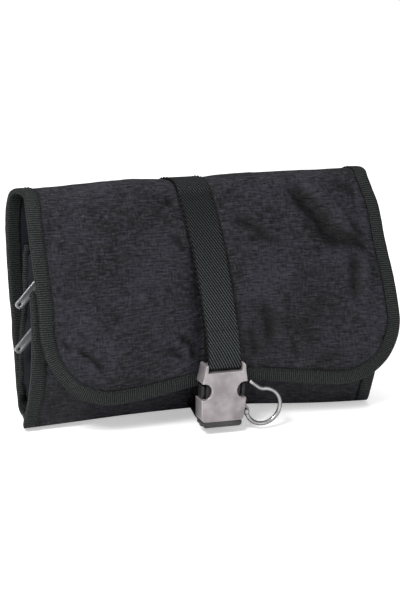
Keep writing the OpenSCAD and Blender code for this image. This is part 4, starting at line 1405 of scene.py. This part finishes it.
# Hook: wire, bow and tip in millimetres and degrees, then how its end is rounded, as shares of the last run
# and of the wire's radius, and the pin's outline as (radius, Y)
WIRE_R, BOW_R, TIP_R, TIP_LEN, BOW_LIFT, TIP_TURN = 1.5, 12.8, 8.0, 7.0, 13.0, 37.0
TIP_RUN, TIP_ROUND = (0.3, 0.6, 0.9, 0.97, 1.0), (0.98, 0.72, 0.2)
PIN = [(0.3, -1.95), (1.2, -1.9), (1.75, -1.6), (1.9, -1.1), (1.9, 1.4), (1.7, 1.85), (1.5, 2.0), (1.5, 7.4),
       (1.2, 7.68), (0.3, 7.7)]


def arc(centre, radius, first, last, count):
    """Points of an arc between two polar angles in degrees"""
    a = np.radians(np.linspace(first, last, count))
    return np.asarray(centre) + radius * together(np.cos(a), np.sin(a))


def hook_path():
    """Middle line of the hook's wire in X and Z from its pin: bow, turn at the tip and straight end"""
    lift = math.radians(BOW_LIFT)
    bow = np.array([BOW_R * math.cos(lift), BOW_R * math.sin(lift)])
    first = arc(bow, BOW_R, 180 + BOW_LIFT, 450, count=90)
    second = arc(bow + [0, BOW_R + TIP_R], TIP_R, 270, 270 - TIP_TURN, count=18)[1:]
    ahead = second[-1] - second[-2]
    ahead /= np.linalg.norm(ahead)
    last = second[-1] + np.array(TIP_RUN)[:, None] * ahead * (TIP_LEN + WIRE_R)
    return np.concatenate([first, second, last])


class BAG_OT_hook(bpy.types.Operator):
    """Bends the wire hook and its pin"""
    bl_idname = "bag.hook"
    bl_label = "Wire hook"

    def execute(self, context):
        pivot = np.array(JOINTS["hook_swing"]["pos_m"]) / MM
        path = hook_path()
        run = ahead_of(path)
        radius = np.full((len(path), 1), WIRE_R)
        radius[-3:, 0] *= TIP_ROUND
        b = np.linspace(0, math.tau, num=18, endpoint=False)
        wide = radius * np.cos(b)
        rings = together(path[:, :1] + run[:, 1:] * wide, radius * np.sin(b), path[:, 1:] - run[:, :1] * wide)
        flat = together(b[None, :] * WIRE_R, lengths(path)[:, None])
        wire = tube("hook_bow", (rings + pivot) * MM, flat, "hook_wire")
        radius, y = np.array(PIN).T[:, :, None]
        rings = together(radius * np.cos(b), y, radius * np.sin(b))
        flat = together(b[None, :], np.arange(len(PIN))[:, None])
        pin = tube("hook_pin", (rings + pivot) * MM, flat, "hook_wire")
        for piece in (wire, pin):
            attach(piece, "hook")
        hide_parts("hanging_hook")
        return {"FINISHED"}


# Camera: where it looks, its turn, height and tilt in degrees, its distance, its focal length in picture
# widths, and the width of its sensor in millimetres
CAMERA_LOOKS = (0.0004, 0.0, 0.0805)
CAMERA_TURN, CAMERA_RISE, CAMERA_TILT = map(math.radians, (24.1, 17.4, 3.6))
CAMERA_AWAY, CAMERA_FOCAL, CAMERA_SENSOR = 1.665, 6.0, 36
FLOOR_HALF, FLOOR_Z, FLOOR_GLOW = 4, -0.0004, 0.45
WHITE, PALE = (1, 1, 1, 1), (0.9, 0.9, 0.9, 1)
# World: its light, what the camera sees beyond that, and what glossy reflections see less
WORLD_LIGHT, WORLD_SEEN, WORLD_GLOSSY = 0.36, 0.64, -0.2
# Lamps: name, place, power and size, and where they all look
LAMPS = [("key", (-0.95, -0.85, 1.3), 26, 0.5), ("fill", (0.85, -1.6, 0.75), 4.5, 0.6),
         ("top", (0.1, 0.5, 1.9), 14, 1.0)]
LAMPS_LOOK = Vector((0, 0, 0.06))


def make_floor():
    """A pale floor with a slight glow that only the camera sees"""
    mesh = bpy.data.meshes.new("floor")
    corners = [(x * FLOOR_HALF, y * FLOOR_HALF, FLOOR_Z) for x, y in ((-1, -1), (1, -1), (1, 1), (-1, 1))]
    mesh.from_pydata(corners, [], [(0, 1, 2, 3)])
    floor = added("floor", mesh)
    tree, shader = start_material("pale_floor", Roughness=0.9, Specular_IOR_Level=0.1, Base_Color=PALE,
                                  Emission_Color=WHITE)
    seen = Value(tree, put(tree, "ShaderNodeLightPath")["Is Camera Ray"])
    feed(tree, seen.spread(0, 1, 0.0, FLOOR_GLOW), shader["Emission Strength"])
    mesh.materials.append(material("pale_floor"))


def make_world(scene):
    """A soft even light that the camera sees as white"""
    world = bpy.data.worlds.new("studio")
    scene.world = world
    world.use_nodes = True
    tree = world.node_tree
    back = tree.nodes["Background"].inputs
    back["Color"].default_value = WHITE
    path = put(tree, "ShaderNodeLightPath")
    seen = Value(tree, path["Is Camera Ray"]) * WORLD_SEEN + WORLD_LIGHT
    feed(tree, Value(tree, path["Is Glossy Ray"]) * WORLD_GLOSSY + seen, back["Strength"])


def make_lamps():
    """Soft lamps that look at the bag"""
    for name, stands, power, width in LAMPS:
        lamp = bpy.data.lights.new(name, "AREA")
        lamp.energy = power
        lamp.size = width
        made = added(name, lamp)
        made.location = stands
        made.rotation_euler = (LAMPS_LOOK - Vector(stands)).to_track_quat("-Z", "Y").to_euler()


def make_camera(scene):
    """A camera at the photograph's angle"""
    lens = bpy.data.cameras.new("camera")
    lens.sensor_fit = "HORIZONTAL"
    lens.sensor_width = CAMERA_SENSOR
    lens.lens = CAMERA_SENSOR * CAMERA_FOCAL
    lens.clip_start = 0.01
    level = math.cos(CAMERA_RISE)
    ahead = Vector((math.sin(CAMERA_TURN) * level, math.cos(CAMERA_TURN) * level, -math.sin(CAMERA_RISE)))
    right = ahead.cross(Vector((0, 0, 1))).normalized()
    up = right.cross(ahead)
    c, s = math.cos(CAMERA_TILT), math.sin(CAMERA_TILT)
    axes = Matrix((c * right + s * up, c * up - s * right, -ahead)).transposed().to_4x4()
    made = added("camera", lens)
    made.matrix_world = Matrix.Translation(Vector(CAMERA_LOOKS) - CAMERA_AWAY * ahead) @ axes
    scene.camera = made


class BAG_OT_stage(bpy.types.Operator):
    """Sets the floor, lights, world and camera"""
    bl_idname = "bag.stage"
    bl_label = "Stage"

    def execute(self, context):
        context.scene.view_settings.view_transform = "Standard"
        make_floor()
        make_world(context.scene)
        make_lamps()
        make_camera(context.scene)
        return {"FINISHED"}


STEPS = (BAG_OT_finishes, BAG_OT_shell, BAG_OT_binding, BAG_OT_straps, BAG_OT_stitches, BAG_OT_zips,
         BAG_OT_pouches, BAG_OT_net, BAG_OT_hardware, BAG_OT_hook, BAG_OT_stage)


class BAG_PT_steps(bpy.types.Panel):
    """Lists the bag's pieces, sizes and colours"""
    bl_idname = "BAG_PT_steps"
    bl_label = "Toiletry bag"
    bl_space_type = "VIEW_3D"
    bl_region_type = "UI"
    bl_category = "Bag"

    def draw(self, context):
        for step in STEPS:
            self.layout.operator(step.bl_idname)
        for group in (context.scene.bag_sizes, context.scene.bag_colours):
            for key in group.__annotations__:
                self.layout.prop(group, key)


CLASSES = (BagSizes, BagColours, *STEPS, BAG_PT_steps)


def register():
    for cls in CLASSES:
        bpy.utils.register_class(cls)
    bpy.types.Scene.bag_sizes = bpy.props.PointerProperty(type=BagSizes)
    bpy.types.Scene.bag_colours = bpy.props.PointerProperty(type=BagColours)


def unregister():
    del bpy.types.Scene.bag_colours
    del bpy.types.Scene.bag_sizes
    for cls in reversed(CLASSES):
        bpy.utils.unregister_class(cls)


def main():
    """Builds the whole bag"""
    register()
    for step in STEPS:
        area, name = step.bl_idname.split(".")
        getattr(getattr(bpy.ops, area), name)()


if __name__ == "__main__":
    main()
